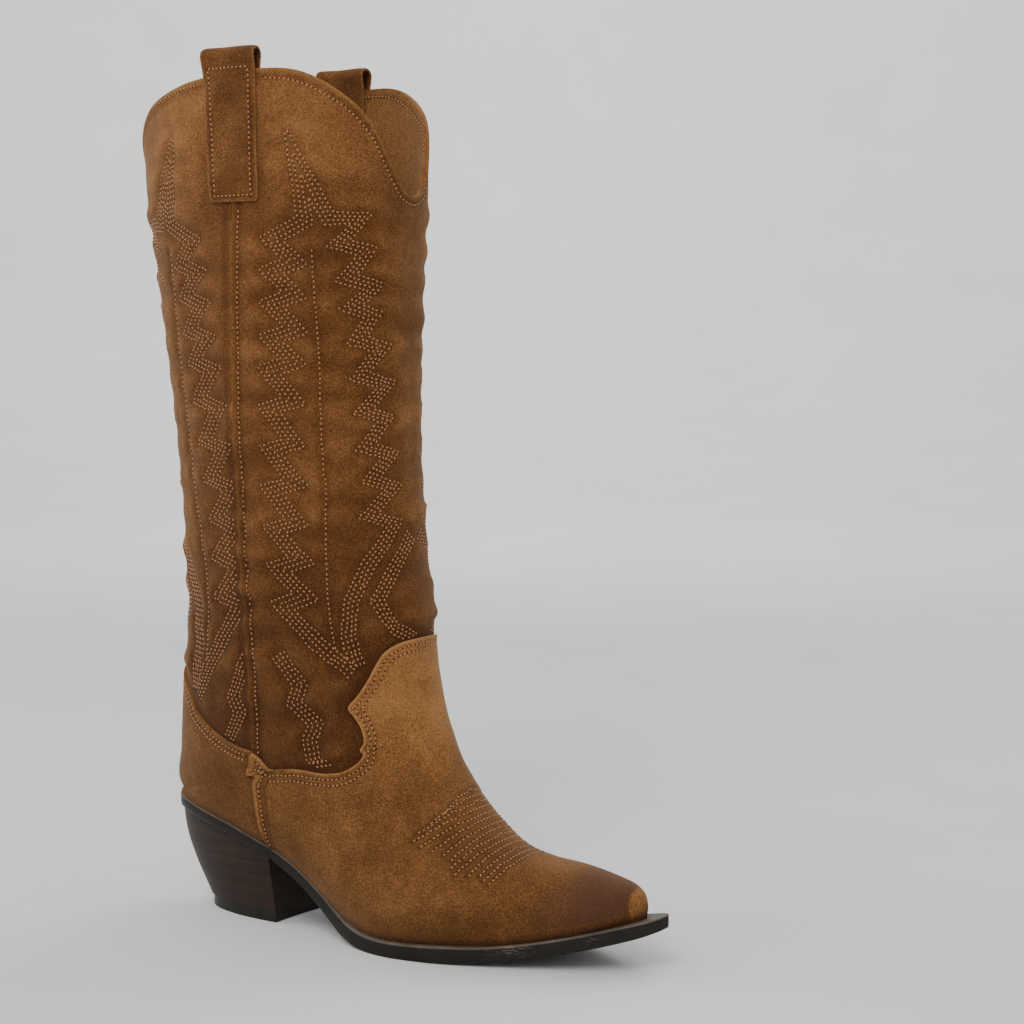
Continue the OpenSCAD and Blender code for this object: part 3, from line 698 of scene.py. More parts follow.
def stack_finish(name, light, dark):
    """Stacked leatherboard heel, inked and waxed: 2 mm layers that show
    as fine level lines, dark brown, with a soft polish."""
    m, tree, shader, where = start(name, Roughness=0.48, IOR=1.5,
                                   Specular_IOR_Level=0.2)
    level = add(tree, "ShaderNodeTexNoise", {
        "Vector": add(tree, "ShaderNodeMapping", {
            "Vector": where, "Scale": (12.0, 12.0, 520.0)}).outputs[0],
        "Scale": 1.0, "Detail": 2.0, "Roughness": 0.6})
    cloud = add(tree, "ShaderNodeTexNoise", {
        "Vector": where, "Scale": 55.0, "Detail": 4.0})
    both = add(tree, "ShaderNodeMath", {0: cloud.outputs[0], 1: 0.5,
               2: level.outputs[0]}, operation="MULTIPLY_ADD")
    ramp = add(tree, "ShaderNodeValToRGB", {"Fac": both.outputs[0]})
    ramp.color_ramp.elements[0].position = 0.5
    ramp.color_ramp.elements[0].color = linear(dark)
    ramp.color_ramp.elements[1].position = 1.0
    ramp.color_ramp.elements[1].color = linear(light)
    tree.links.new(ramp.outputs[0], shader.inputs["Base Color"])
    bump = add(tree, "ShaderNodeBump", {
        "Height": level.outputs[0], "Strength": 0.5, "Distance": 0.0005})
    tree.links.new(bump.outputs[0], shader.inputs["Normal"])
    return m


def plain_finish(name, light, dark, scale, rough, metal=0.0, depth=0.0003):
    """A worked sheet or metal with even mottling at one scale."""
    m, tree, shader, where = start(name, Roughness=rough, Metallic=metal)
    grain = add(tree, "ShaderNodeTexNoise", {
        "Vector": where, "Scale": scale, "Detail": 4.0, "Roughness": 0.6})
    ramp = add(tree, "ShaderNodeValToRGB", {"Fac": grain.outputs[0]})
    ramp.color_ramp.elements[0].position = 0.3
    ramp.color_ramp.elements[0].color = linear(dark)
    ramp.color_ramp.elements[1].position = 0.7
    ramp.color_ramp.elements[1].color = linear(light)
    tree.links.new(ramp.outputs[0], shader.inputs["Base Color"])
    bump = add(tree, "ShaderNodeBump", {
        "Height": grain.outputs[0], "Strength": 0.4, "Distance": depth})
    tree.links.new(bump.outputs[0], shader.inputs["Normal"])
    return m


FINISHES = {}


def finish_of(name, make, *values):
    if name not in FINISHES:
        FINISHES[name] = make(name, *values)
    return FINISHES[name]


def hex_of(colour):
    """A colour property back to the hex value that linear() takes."""
    c = [x * 12.92 if x <= 0.0031308 else 1.055 * x ** (1 / 2.4) - 0.055
         for x in colour[:3]]
    return "#" + "".join(f"{round(min(max(x, 0), 1) * 255):02x}" for x in c)


def leg_suede():
    c = bpy.context.scene.boot_colours
    return finish_of("brushed_leg_suede", suede, hex_of(c.leg_light),
                     hex_of(c.leg_middle), hex_of(c.leg_dark),
                     hex_of(c.burnish))


def foot_suede():
    c = bpy.context.scene.boot_colours
    return finish_of("brushed_foot_suede", suede, hex_of(c.foot_light),
                     hex_of(c.foot_middle), hex_of(c.foot_dark),
                     hex_of(c.burnish), 0.7)


# ------------------------------------------------------------ leg panels
def leg_shape(back):
    sizes = bpy.context.scene.boot_sizes
    low, high = -LEATHER_T, 0.0

    def shape(u, v, w):
        k = 2 * u - 1
        if back:
            k = -k
            h = 1 - abs(k) * 0.475
        else:
            h = abs(k) * 0.5
        a, b = smooth(TOP_LINE, h), smooth(SHAFT_END, h)
        s = a + (b - a) * v
        line = np.minimum(seam(s), 0.56)
        if back:
            t = (1 - abs(k) * 0.994 * (1 - line)) * np.where(k < 0, -1, 1)
        else:
            t = k * line * 1.004
        p, n = spot(s, t), outward(s, t)
        d, tight, edge = puff(s, t, p, sizes.puff)
        girth = np.interp(s, FLAT_S, GIRTH)
        from_seam = abs(abs(t) - line) * girth
        from_top = (s - a) * TOP_STEP
        bead = 0.45 * np.exp(-((from_top / 1.6) ** 2))
        row = -0.28 * np.exp(-(((from_top - TOP_ROW) / 1.1) ** 2))
        lap = 0.0 if back else 0.8 * np.exp(-((from_seam / 2.2) ** 2))
        lap_row = (0.0 if back else -0.35) * np.exp(
            -(((from_seam - 3.6) / 1.2) ** 2))
        hidden = np.where(covered(s, t), 0.0, 1.0)
        out = (d + bead + row + lap * ease(s, 1.1, 1.4) * hidden
               + lap_row * hidden)
        lift = np.where(w > 0.5, high + out - rim_round(u, v, 0.3),
                        low + np.maximum(d, 0))
        # Painted light and shade: shade in the stitch hollows, the top row,
        # the seam row and beside the vamp and counter edges; light on the
        # puffs, the top bead and the lapped seam; the top of the leg lighter
        # and the ankle darker, as the lamps fall.
        tone = (-0.05 - 0.12 * tight + 0.15 * np.clip(d - 0.9, -1, 1.4)
                + 0.5 * (1 - ease(s, 0.1, 1.3)) - 0.32 * ease(s, 3.6, 5.4)
                + 0.3 * np.exp(-((from_top / 1.2) ** 2))
                - 0.25 * np.exp(-(((from_top - TOP_ROW) / 1.5) ** 2))
                - 0.3 * np.exp(-(((from_seam - 3.4) / 1.6) ** 2))
                + 0.1 * np.exp(-((from_seam / 1.2) ** 2))
                - 0.2 * np.exp(-((edge / 2.2) ** 2)))
        return p + n * lift[:, None], {"tone": tone, "burn": tone * 0}

    return shape


def burn_mask(p):
    """Rubbed-in dark cream on the toe and on the back of the counter."""
    x, z = p[:, 0], p[:, 2]
    ragged = 5 * swell(p, 14, 2.2)
    height = z - smooth(SOLE_TOP, x) + 0.35 * ragged
    upper = 8 + 26 * ease(x, 152, 206)
    toe = ease(x + ragged, 148, 208) * ease(height, 2, 8) * (
        1 - 0.85 * ease(height, upper - 6, upper + 7))
    toe = toe * (1 - ease(x, *TIP_X))
    heel = (1 - ease(x - 0.12 * z + 1.2 * ragged, -58, -26)) * ease(
        z + ragged, 56, 88) * (1 - ease(z + ragged, 98, 136))
    return np.clip(0.82 * toe + 0.72 * heel, 0, 1)


# ------------------------------------------------------- the vamp's sheet
# Rows across the instep: the share that each one ends at, ridge to side.
MEDALLION_ENDS = (0.22, 0.3, 0.37, 0.41, 0.4, 0.37, 0.34, 0.33, 0.36, 0.38,
                  0.35, 0.33, 0.36, 0.38)
MEDALLION = [
    [(9.36 + 0.125 * i, 0.0), (9.44 + 0.122 * i, 0.5 * end),
     (9.68 + 0.112 * i, end)] for i, end in enumerate(MEDALLION_ENDS)]


def vamp_shape(cols):
    e_line = rim_line(cols - 4 + 1, 1)
    half = cols // 2

    def shape(u, v, w):
        i = np.rint(u * cols).astype(int) - half
        sign = np.where(i < 0, -1, 1)
        j = abs(i)
        inner = half - 2
        e = np.interp(np.minimum(j, inner),
                      np.linspace(0, inner, len(e_line)), e_line)
        e0, e1, e2 = rim_at(e)
        g = 0.55 * v + 0.45 * v * v
        s = e0 + (VAMP_END - e0) * g
        lap = ease(e, 17.0, 18.6)
        e1 = e1 + 0.011 * lap * (1 - ease(e, RIM_N - 1.5, RIM_N))
        t = sign * (e2 + (e1 - e2) * np.exp(-(s - e0) / FAN_DECAY))
        p, n = spot(s, t), outward(s, t)
        down = unit(n + [0, 0, -1]) * 1.3
        n = np.where((j == inner)[:, None], down, n)
        for k, m in ((1, 1.6), (2, 11.0)):
            q, f = turned(s, t, np.full(len(s), m))
            pick = (j == inner + k)[:, None]
            p, n = np.where(pick, q, p), np.where(pick, f, n)
        wall = j <= inner
        rim = RIM_DISTANCE(p)
        on_leg = np.exp(-((rim / 1.7) ** 2))
        rows_pressed = np.exp(-(((rim - 3.0) / 1.0) ** 2))
        rows_pressed += np.exp(-(((rim - 5.8) / 1.0) ** 2))
        stitched = np.exp(-((MEDALLION_DISTANCE(p) / 1.6) ** 2))
        free = ease(rim, 6, 22) * wall * ease(
            p[:, 2] - sole_z(p[:, 0]), 3, 14)
        roll = swell(p, 24, 5.5)
        fold = swell(p * [1.0, 0.45, 1.0], 13, 9.9)
        bend = np.exp(-(((p[:, 0] - 133) / 26) ** 2))
        d = free * (0.35 * roll + (0.25 + 0.45 * bend) * fold)
        d = d + np.where(wall, 0.45 * on_leg - 0.25 * rows_pressed
                         + 0.5 * lap * np.exp(-((rim / 3.5) ** 2)), 0)
        d = d + 0.55 * free * np.exp(
            -((MEDALLION_DISTANCE(p) / 5) ** 2)) * (1 - 1.5 * stitched)
        lift = np.where(w > 0.5, GAP + LEATHER_T + d
                        - rim_round(u * 0 + 0.5, v, 0.3), GAP)
        burn = burn_mask(p)
        height = p[:, 2] - sole_z(p[:, 0])
        # Painted light and shade: light on the folds, on the raised edge and
        # on the upper vamp, as the lamps fall; shade in the pressed rows, the
        # stitching, the lower vamp and along the sole. The last term makes the
        # toe tip paler.
        tone = (0.2 * free * fold - 0.26 * rows_pressed - 0.3 * stitched
                + 0.5 * np.exp(-((rim / 0.9) ** 2))
                - 0.45 * (1 - ease(height, 0, 6))
                - 0.2 * (1 - ease(height, 6, 26))
                + 0.5 * ease(p[:, 2], 66, 128)
                + 0.45 * ease(p[:, 0], 218.8, 219.8) * ease(height, 1, 4))
        return p + n * lift[:, None], {"tone": tone, "burn": burn}

    return shape


def rim_points():
    e = np.linspace(0, RIM_N, 500)
    s, t, _ = rim_at(e)
    return np.vstack([spot(s, t), spot(s, -t)])


RIM_DISTANCE = nearest(rim_points())


def medallion_lines(side):
    lines = []
    for row in MEDALLION:
        r = np.array(row, float)
        u = np.linspace(0, 1, 40)
        k = np.linspace(0, 1, len(r))
        lines.append(np.stack([np.interp(u, k, r[:, 0]),
                               side * np.interp(u, k, r[:, 1])], -1))
    return lines


def medallion_points():
    st = np.vstack([x for side in (-1, 1) for x in medallion_lines(side)])
    return spot(st[:, 0], st[:, 1])


MEDALLION_DISTANCE = nearest(medallion_points())


# ---------------------------------------------------------- counter cover
def heel_place(k, r, foot=8.01, side=0.99, top=COUNTER_EDGE):
    """Station and share on the heel wrap, column k, row r."""
    a = abs(k) * side
    h = 1 - a * 0.455
    s0, s1 = smooth(top, h), foot + (SEAM_FOOT - foot) * a
    s = s0 + (s1 - s0) * r
    c0 = float(smooth(top, 1.0))
    x0 = spot(s0, h)[..., 0]
    x1 = smooth(STATION, s1, 3)
    cx = (smooth(STATION, c0 + (foot - c0) * r, 3)
          - smooth(STATION, c0, 3) * (1 - r)
          - smooth(STATION, foot, 3) * r)
    x = x0 + (x1 - x0) * r + cx * (1 - a)
    t = np.where(a < 1e-9, 1, share_at(s, x))
    return s, np.where(k < 0, -t, t)


def counter_top_points():
    h = np.linspace(0.545, 1, 220)
    s = smooth(COUNTER_EDGE, h)
    return np.vstack([spot(s, h), spot(s, -h)])


COUNTER_TOP_DISTANCE = nearest(counter_top_points())


def counter_shape(rows):
    def shape(u, v, w):
        k = 1 - 2 * u
        j = np.rint(v * rows).astype(int)
        inner = rows - 2
        r = np.minimum(j / inner, 1.0)
        s, t = heel_place(k, r, side=1.0)
        p, n = spot(s, t), outward(s, t)
        down = unit(n + [0, 0, -1]) * 1.3
        n = np.where((j == inner)[:, None], down, n)
        for q, m in ((1, 1.6), (2, 11.0)):
            a, b = turned(s, t, np.full(len(s), m))
            pick = (j == inner + q)[:, None]
            p, n = np.where(pick, a, p), np.where(pick, b, n)
        wall = j <= inner
        top = COUNTER_TOP_DISTANCE(p)
        pressed = np.exp(-(((top - 3.0) / 1.0) ** 2))
        free = wall * ease(top, 5, 18) * ease(
            p[:, 2] - sole_z(p[:, 0]), 3, 12) * ease(RIM_DISTANCE(p), 4, 16)
        roll = swell(p, 22, 6.1)
        d = 0.35 * free * roll + np.where(
            wall, 0.4 * np.exp(-((top / 1.6) ** 2)) - 0.25 * pressed, 0)
        under = wall * np.exp(-((RIM_DISTANCE(p) / 4.5) ** 2))
        d = d * (1 - under) - 0.75 * under
        lift = np.where(w > 0.5, GAP + LEATHER_T + d
                        - rim_round(u * 0 + 0.5, v, 0.3), GAP)
        height = p[:, 2] - sole_z(p[:, 0])
        # Painted light and shade: light on the rolls and the top edge, shade
        # in the pressed row and along the sole, and the whole cover a little
        # darker, as the lamps fall.
        tone = (0.25 * free * roll - 0.3 * pressed
                + 0.35 * np.exp(-((top / 0.9) ** 2))
                - 0.5 * (1 - ease(height, 0, 6)) - 0.16)
        return p + n * lift[:, None], {"tone": tone, "burn": burn_mask(p)}

    return shape


# ------------------------------------------------------------- pull straps
def strap_path():
    """Centre line of a strap: distance out of the leather, height."""
    out = GAP + LEATHER_T / 2 + 0.05
    inn = -(LEATHER_T * 2.5 + GAP * 3)
    mid, r = (out + inn) / 2, 3.9
    z = 447 - LEATHER_T / 2 - r
    a = np.radians(np.arange(0, 181, 7.5))
    up = [(out, q) for q in np.linspace(371, 430, 30)]
    loop = [(mid + r * math.cos(q), z + r * math.sin(q)) for q in a]
    down = [(inn, q) for q in np.linspace(430, 400, 18)]
    return np.array(up + [(out + 0.5, 435)] + loop + [(inn - 0.5, 435)]
                    + down)


def strap_shape(side):
    path = strap_path()
    run = np.concatenate([[0], np.cumsum(
        np.linalg.norm(np.diff(path, axis=0), axis=1))])
    along = np.gradient(path, axis=0)
    along = along / np.linalg.norm(along, axis=1, keepdims=True)

    def shape(u, v, w):
        at = v * run[-1]
        n, z = (np.interp(at, run, path[:, c]) for c in (0, 1))
        dn, dz = (np.interp(at, run, along[:, c]) for c in (0, 1))
        corner = np.clip(1 - at / 5.0, 0, 1)
        squeeze = 1 - 0.10 * (1 - np.sqrt(np.maximum(1 - corner ** 2, 0)))
        t = STRAP_T[0] + (STRAP_T[1] - STRAP_T[0]) * (
            0.5 + (u - 0.5) * squeeze)
        width = 32.0
        from_side = np.minimum(u, 1 - u) * width
        edge = np.minimum(from_side, at)
        pressed = np.exp(-(((edge - 3.0) / 0.9) ** 2)) * (
            1 - ease(z, 434, 438)) * (at < run[-1] * 0.45)
        half = LEATHER_T / 2
        bulge = (-0.3 * np.exp(-((edge / 0.7) ** 2)) - 0.22 * pressed
                 + 0.12 * np.sin(u * 9 + z * 0.21))
        off = np.where(w > 0.5, half + bulge, -half)
        n, z = n + dz * off, z - dn * off
        s = (TOP_Z - z) / TOP_STEP
        p = spot(s, side * t)
        d = outward(np.maximum(s, 0.05), side * t)
        # Painted light and shade: a highlight on the rounded edges and shade
        # in the pressed row, with a slow wave of tone.
        tone = (0.4 * np.exp(-((edge / 0.8) ** 2)) - 0.3 * pressed
                + 0.1 * np.sin(u * 7 + z * 0.15) - 0.08)
        return p + d * n[:, None], {"tone": tone, "burn": tone * 0}

    return shape


# ------------------------------------------------ facings, linings, sock
def inside_shape(back, top, low, side, near, far):
    """A sheet inside the leg, between two lines of stations."""
    def shape(u, v, w):
        k = 1 - 2 * u if back else 2 * u - 1
        h = 1 - abs(k) * 0.475 if back else abs(k) * 0.5
        a, b = top(h), low(h)
        s = a + (b - a) * v
        line = np.minimum(seam(s), 0.56)
        if back:
            t = (1 - abs(k) * side * (1 - line)) * np.where(k < 0, -1, 1)
        else:
            t = k * side * line
        p, n = spot(s, t), outward(s, t)
        ripple = 0.15 * np.sin(p[:, 2] * 0.19 + 3 * t)
        lift = np.where(w > 0.5, near, far + ripple)
        from_row = (s - a) * TOP_STEP - TOP_ROW
        # Painted shade in the stitched row.
        tone = 0.25 - 0.3 * np.exp(-((from_row / 1.2) ** 2))
        return p + n * lift[:, None], {"tone": tone, "burn": tone * 0}

    return shape


def heel_lining_shape(u, v, w):
    k = 1 - 2 * u
    a = abs(k) * 0.985
    g, f = np.minimum(v / 0.7, 1), np.maximum(v - 0.7, 0) / 0.3
    h = 1 - a * 0.5
    s0, sm = smooth(FACING_END, h) + 0.01, 6.15 + 1.3 * a
    s1 = s0 + (sm - s0) * g
    upper = 1 - a * (1 - np.minimum(seam(s1), 0.545))
    s2, t2 = heel_place(k, f, 7.8, 0.985, [(0.545, 7.45), (1, 6.15)])
    t2 = np.minimum(abs(t2), 1 - 0.06 * np.minimum(1, 4 * a))
    s = np.where(f > 0, s2, s1)
    t = np.where(f > 0, t2, upper) * np.where(k < 0, -1, 1)
    p, n = spot(s, t), outward(s, t)
    lift = np.where(w > 0.5, -LEATHER_T - GAP, -2.2)
    return p + n * lift[:, None], {}


def vamp_lining_shape(u, v, w):
    s = 7.34 + (13.2 - 7.34) * v
    low = np.where(s < 12, 0.945, 0.945 - 0.05 * (s - 12))
    t = (2 * u - 1) * np.minimum(seam(s) - 0.012, low)
    p, n = spot(s, t), outward(s, t)
    lift = np.where(w > 0.5, -LEATHER_T - GAP, -2.2)
    return p + n * lift[:, None], {}


def pad_height(x):
    wave = 0.5 + 0.5 * np.cos(np.pi * (x + 5) / 43)
    return PAD_RISE * np.where(x < -5, 1, np.where(x > 38, 0, wave))


def foot_slab(d, x0, x1, low, high, crown=0.0):
    """A flat piece inside the foot outline drawn in by d."""
    a, b = max(x0, -48 + d), min(x1, 222.2 - d * 1.6)

    def shape(u, v, w):
        x = a + (b - a) * (0.5 - 0.5 * np.cos(np.pi * u))
        half = np.maximum(smooth(FOOT, x, 1) - d
                          - np.where(x < -20, (-20 - x) * 0.02 * d, 0), 0.6)
        y = smooth(FOOT, x, 2) + half * (2 * v - 1)
        rim = (abs(2 * v - 1) ** 6) + (abs(2 * u - 1) ** 24)
        z = sole_z(x) + np.where(
            w > 0.5, high(x) - crown * np.clip(rim, 0, 1), low(x))
        # Painted shade towards the rim, where the sides of the boot meet the
        # sock.
        return np.stack([x, y, z], -1), {"tone": -0.2 * rim, "burn": 0 * x}

    return shape


# --------------------------------------------------------- sole and heel
def outsole_shape(u, v, w):
    x = -50.5 + 287 * (0.5 - 0.5 * np.cos(np.pi * u))
    y = -smooth(SOLE_EDGE, x, 1) * (1 - v) + smooth(SOLE_EDGE, x, 2) * v
    seat = sole_z(x) - SEAT_T
    tread = np.maximum(smooth(SOLE_LOW, x), 0)
    blend = ease(x, 24, 28)
    low = seat * (1 - blend) + tread * blend
    z = np.where(w > 0.5, sole_z(x), low)
    mark = (0.75 * np.exp(-(((x - 168) / 9) ** 2))
            + 0.35 * np.exp(-(((x - 206) / 5) ** 2))) * (y < 0) * w
    return np.stack([x, y, z], -1), {"rim": w * 1.0, "scuff": mark}


def heel_ring(u, z):
    """Point of the heel's outline: the round back, then the breast."""
    b, w, f = (smooth(HEEL, z, c) for c in (1, 2, 3))
    round_part = np.minimum(u / 0.75, 1)
    a = -np.pi / 2 + np.pi * round_part
    y = w * np.sign(a) * abs(np.sin(a)) ** (2 / 2.2)
    x = f + 0.13 * y - (f - b) * np.maximum(np.cos(a), 0) ** (2 / 2.2)
    across = np.clip((u - 0.75) / 0.25, 0, 1)
    y = np.where(u > 0.75, w * (1 - 2 * across), y)
    x = np.where(u > 0.75, f + 0.13 * y - 0.9 * np.sin(np.pi * across), x)
    return x, y


def closed_loft(name, cols, rows, ring, bevel=0.0):
    """A tube of rings with both ends closed."""
    bm = bmesh.new()
    bmesh.ops.create_grid(bm, x_segments=cols, y_segments=rows, size=0.5)
    co = np.array([v.co for v in bm.verts])
    p = ring(co[:, 0] + 0.5, co[:, 1] + 0.5)
    for v, q in zip(bm.verts, p * MM):
        v.co = q
    bmesh.ops.remove_doubles(bm, verts=bm.verts[:], dist=2e-6)
    bmesh.ops.holes_fill(bm, edges=[e for e in bm.edges if e.is_boundary])
    bmesh.ops.recalc_face_normals(bm, faces=bm.faces[:])
    if bevel:
        sharp = [e for e in bm.edges if len(e.link_faces) == 2
                 and e.calc_face_angle(0) > math.radians(45)]
        bmesh.ops.bevel(bm, geom=sharp, offset=bevel * MM, segments=2,
                        profile=0.5, affect="EDGES", material=-1,
                        offset_type="OFFSET")
    ends = [f for f in bm.faces if len(f.verts) > 4]
    bmesh.ops.triangulate(bm, faces=ends)
    return finish_piece(name, bm, 35)


# ------------------------------------------------------------- stitching
def stitch_template(length, thick):
    """One stitch: a rounded, slightly arched length of thread."""
    bm = bmesh.new()
    bmesh.ops.create_cone(
        bm, cap_ends=True, segments=6, radius1=thick / 2, radius2=thick / 2,
        depth=length * 0.62)
    ends = [f for f in bm.faces if len(f.verts) == 6]
    bmesh.ops.inset_region(bm, faces=ends, thickness=thick * 0.24,
                           use_even_offset=True)
    for f in ends:
        for v in f.verts:
            v.co.z += math.copysign(length * 0.19, v.co.z)
    for v in bm.verts:
        v.co = Vector((v.co.z, v.co.y, v.co.x))
        v.co.z -= thick * 0.55 * (abs(v.co.x) / (length / 2)) ** 2
    bmesh.ops.recalc_face_normals(bm, faces=bm.faces[:])
    for f in bm.faces:
        f.smooth = True
    mesh = bpy.data.meshes.new("stitch")
    bm.to_mesh(mesh)
    bm.free()
    return mesh


def hole_template(radius):
    """One needle hole: a small dimple, dark with painted shade."""
    bm = bmesh.new()
    bmesh.ops.create_cone(bm, cap_ends=True, segments=6, radius1=radius,
                          radius2=radius * 0.5, depth=radius * 0.5)
    mesh = bpy.data.meshes.new("hole")
    bm.to_mesh(mesh)
    bm.free()
    return mesh


def lay_rows(name, lines, surface, step, thick, material, hole_shade_material):
    """Lays stitches along lines (mm) on the outside of a piece."""
    tree = BVHTree.FromObject(surface,
                              bpy.context.evaluated_depsgraph_get())
    bodies = [(stitch_template(step * 0.62 * MM, thick * MM), 0.0,
               thick * 0.12 * MM, bmesh.new()),
              (hole_template(0.56 * MM * thick / 0.8), 0.5, 0.02 * MM,
               bmesh.new())]
    for line in lines:
        if len(line) < 2:
            continue
        q = walk(line, step)
        if len(q) < 3:
            continue
        ahead = np.gradient(q, axis=0)
        for mesh, shift, rise, bm in bodies:
            base = np.array([v.co for v in mesh.vertices])
            for p, d in zip(q, ahead):
                hit, n, _, gap = tree.find_nearest(
                    Vector((p + d * shift) * MM))
                if hit is None or gap > 0.006:
                    continue
                x = Vector(d)
                x = (x - n * x.dot(n)).normalized()
                y = n.cross(x)
                turn = np.array([x, y, n])
                at = np.array(hit + n * rise)
                mesh.vertices.foreach_set("co", (base @ turn + at).ravel())
                bm.from_mesh(mesh)
            mesh.vertices.foreach_set("co", base.ravel())
    pieces = []
    for (mesh, _, _, bm), kind, mat in zip(
            bodies, ("", "_holes"), (material, hole_shade_material)):
        obj = finish_piece(name + kind, bm, 80)
        pieces.append(register_piece(obj, mat, "suede"))
        bpy.data.meshes.remove(mesh)
    return pieces


def offset_rows(points, normals, into, distances):
    """Lines drawn in from an edge by each distance."""
    along = unit(np.gradient(points, axis=0))
    side = unit(np.cross(normals, along)) * into
    return [points + side * d for d in distances]


def clear_runs(row, distance, height=2.4):
    """The stretches of a raised row that keep clear of the vamp's edge."""
    ok = RIM_DISTANCE(row) > math.hypot(distance, height)
    cut = np.flatnonzero(np.diff(ok.astype(int))) + 1
    return [row[run] for run in np.split(np.arange(len(row)), cut)
            if ok[run[0]]]


# -------------------------------------------------------------- settings
def colour_property(name, code, note):
    return bpy.props.FloatVectorProperty(
        name=name, description=note, subtype="COLOR", size=4, min=0, max=1,
        default=linear(code))


class BootColours(bpy.types.PropertyGroup):
    """Colours of the boot."""
    # The raised and laid nap colours are also where painted light and painted
    # shade take the suede.
    leg_light: colour_property("Leg, raised nap and painted light", "#986a40",
                               "Suede of the leg where the nap stands up, and in painted light")
    leg_middle: colour_property("Leg", "#643d1d", "Suede of the leg")
    leg_dark: colour_property("Leg, laid nap and painted shade", "#3a1e0a",
                              "Suede of the leg where the nap lies down, and in painted shade")
    foot_light: colour_property("Foot, raised nap and painted light", "#a06f42",
                                "Suede of the foot where the nap stands up, and in painted light")
    foot_middle: colour_property("Foot", "#643f1e", "Suede of the foot")
    foot_dark: colour_property("Foot, laid nap and painted shade", "#3b200c",
                               "Suede of the foot where the nap lies down, and in painted shade")
    burnish: colour_property("Burnish", "#4a2f27",
                             "Dark cream rubbed into the toe and heel")
    thread: colour_property("Thread", "#b87a45", "Decorative thread")
    sole: colour_property("Sole", "#17130f", "Rubber of the outsole")
    heel: colour_property("Heel", "#33231a", "Stacked heel")


class BootSizes(bpy.types.PropertyGroup):
    """Sizes that change the looks and not the fit."""
    puff: bpy.props.FloatProperty(
        name="Quilting", default=1.0, min=0, max=2,
        description="How far the leg leather stands out between rows")
    thread_thick: bpy.props.FloatProperty(
        name="Thread", default=0.8 * MM, min=0.3 * MM, max=1.5 * MM,
        unit="LENGTH", description="Thickness of the thread")
    stitch_step: bpy.props.FloatProperty(
        name="Stitch step", default=2.5 * MM, min=1.5 * MM, max=5 * MM,
        unit="LENGTH", description="Distance between two stitches")


class StudioSizes(bpy.types.PropertyGroup):
    """The stage."""
    floor_radius: bpy.props.FloatProperty(
        name="Floor", default=2.6, min=1, max=10, unit="LENGTH",
        description="Radius of the flat part of the floor")
    lamp: bpy.props.FloatProperty(
        name="Lamp", default=26.0, min=0, max=500,
        description="Power of the main soft lamp, in watts")


# -------------------------------------------------------------- operators
class BOOT_OT_stage(bpy.types.Operator):
    """Pale floor, soft lamps and the camera"""
    bl_idname = "boot.stage"
    bl_label = "Stage"

    def execute(self, context):
        sizes = context.scene.boot_studio
        bm = bmesh.new()
        r, bend = sizes.floor_radius, 1.2
        profile = [(0.0, 0.0), (r * 0.5, 0.0), (r, 0.0)]
        for i in range(1, 13):
            a = math.pi / 2 * i / 12
            profile.append((r + bend * math.sin(a),
                            bend * (1 - math.cos(a))))
        profile.append((r + bend, 1.35))
        verts = [bm.verts.new((x, 0, z)) for x, z in profile]
        edges = [bm.edges.new(pair) for pair in zip(verts, verts[1:])]
        bmesh.ops.spin(bm, geom=verts + edges, cent=(0, 0, 0),
                       axis=(0, 0, 1), angle=2 * math.pi, steps=96,
                       use_merge=True)
        bmesh.ops.remove_doubles(bm, verts=bm.verts[:], dist=1e-5)
        bmesh.ops.recalc_face_normals(bm, faces=bm.faces[:])
        low = min(bm.faces, key=lambda f: f.calc_center_median().length)
        if low.normal.z < 0:
            bmesh.ops.reverse_faces(bm, faces=bm.faces[:])
        floor = finish_piece("studio_floor", bm, 80)
        floor.data.materials.append(
            finish_of("painted_board", plain_finish, "#dcdedc", "#d6d8d6",
                      6.0, 0.8))
        lamps = (("main_lamp", (0.5, -1.5, 1.75), 1.3, sizes.lamp),
                 ("left_lamp", (-1.6, -0.5, 1.3), 1.2, sizes.lamp * 0.45),
                 ("back_lamp", (0.4, 1.5, 1.9), 1.2, sizes.lamp * 0.5),
                 ("wall_lamp", (-0.75, 1.45, 1.9), 1.4, sizes.lamp * 1.8))
        for name, at, size, power in lamps:
            light = bpy.data.lights.new(name, "AREA")
            light.shape = "DISK"
            light.size, light.energy = size, power
            light.color = (1.0, 0.975, 0.945)
            lamp = bpy.data.objects.new(name, light)
            lamp.location = at
            goal = (-1.9, 3.4, 1.1) if name == "wall_lamp" else (0.06, 0, 0.2)
            aim = Vector(goal) - Vector(at)
            lamp.rotation_euler = aim.to_track_quat("-Z", "Y").to_euler()
            context.scene.collection.objects.link(lamp)
        world = bpy.data.worlds.new("studio")
        world.use_nodes = True
        sky = world.node_tree.nodes["Background"]
        sky.inputs["Color"].default_value = linear("#e4e8ea")
        sky.inputs["Strength"].default_value = 1.0
        context.scene.world = world
        camera = bpy.data.cameras.new("camera")
        camera.lens, camera.sensor_width = 36 * 2000 / 1024, 36
        camera.clip_start = 0.05
        eye = bpy.data.objects.new("camera", camera)
        eye.location = (0.645, -0.843, 0.301)
        yaw, pitch = math.radians(-30.3), math.radians(-4.8)
        look = Vector((math.sin(yaw) * math.cos(pitch),
                       math.cos(yaw) * math.cos(pitch), math.sin(pitch)))
        eye.rotation_euler = look.to_track_quat("-Z", "Y").to_euler()
        context.scene.collection.objects.link(eye)
        context.scene.camera = eye
        return {"FINISHED"}


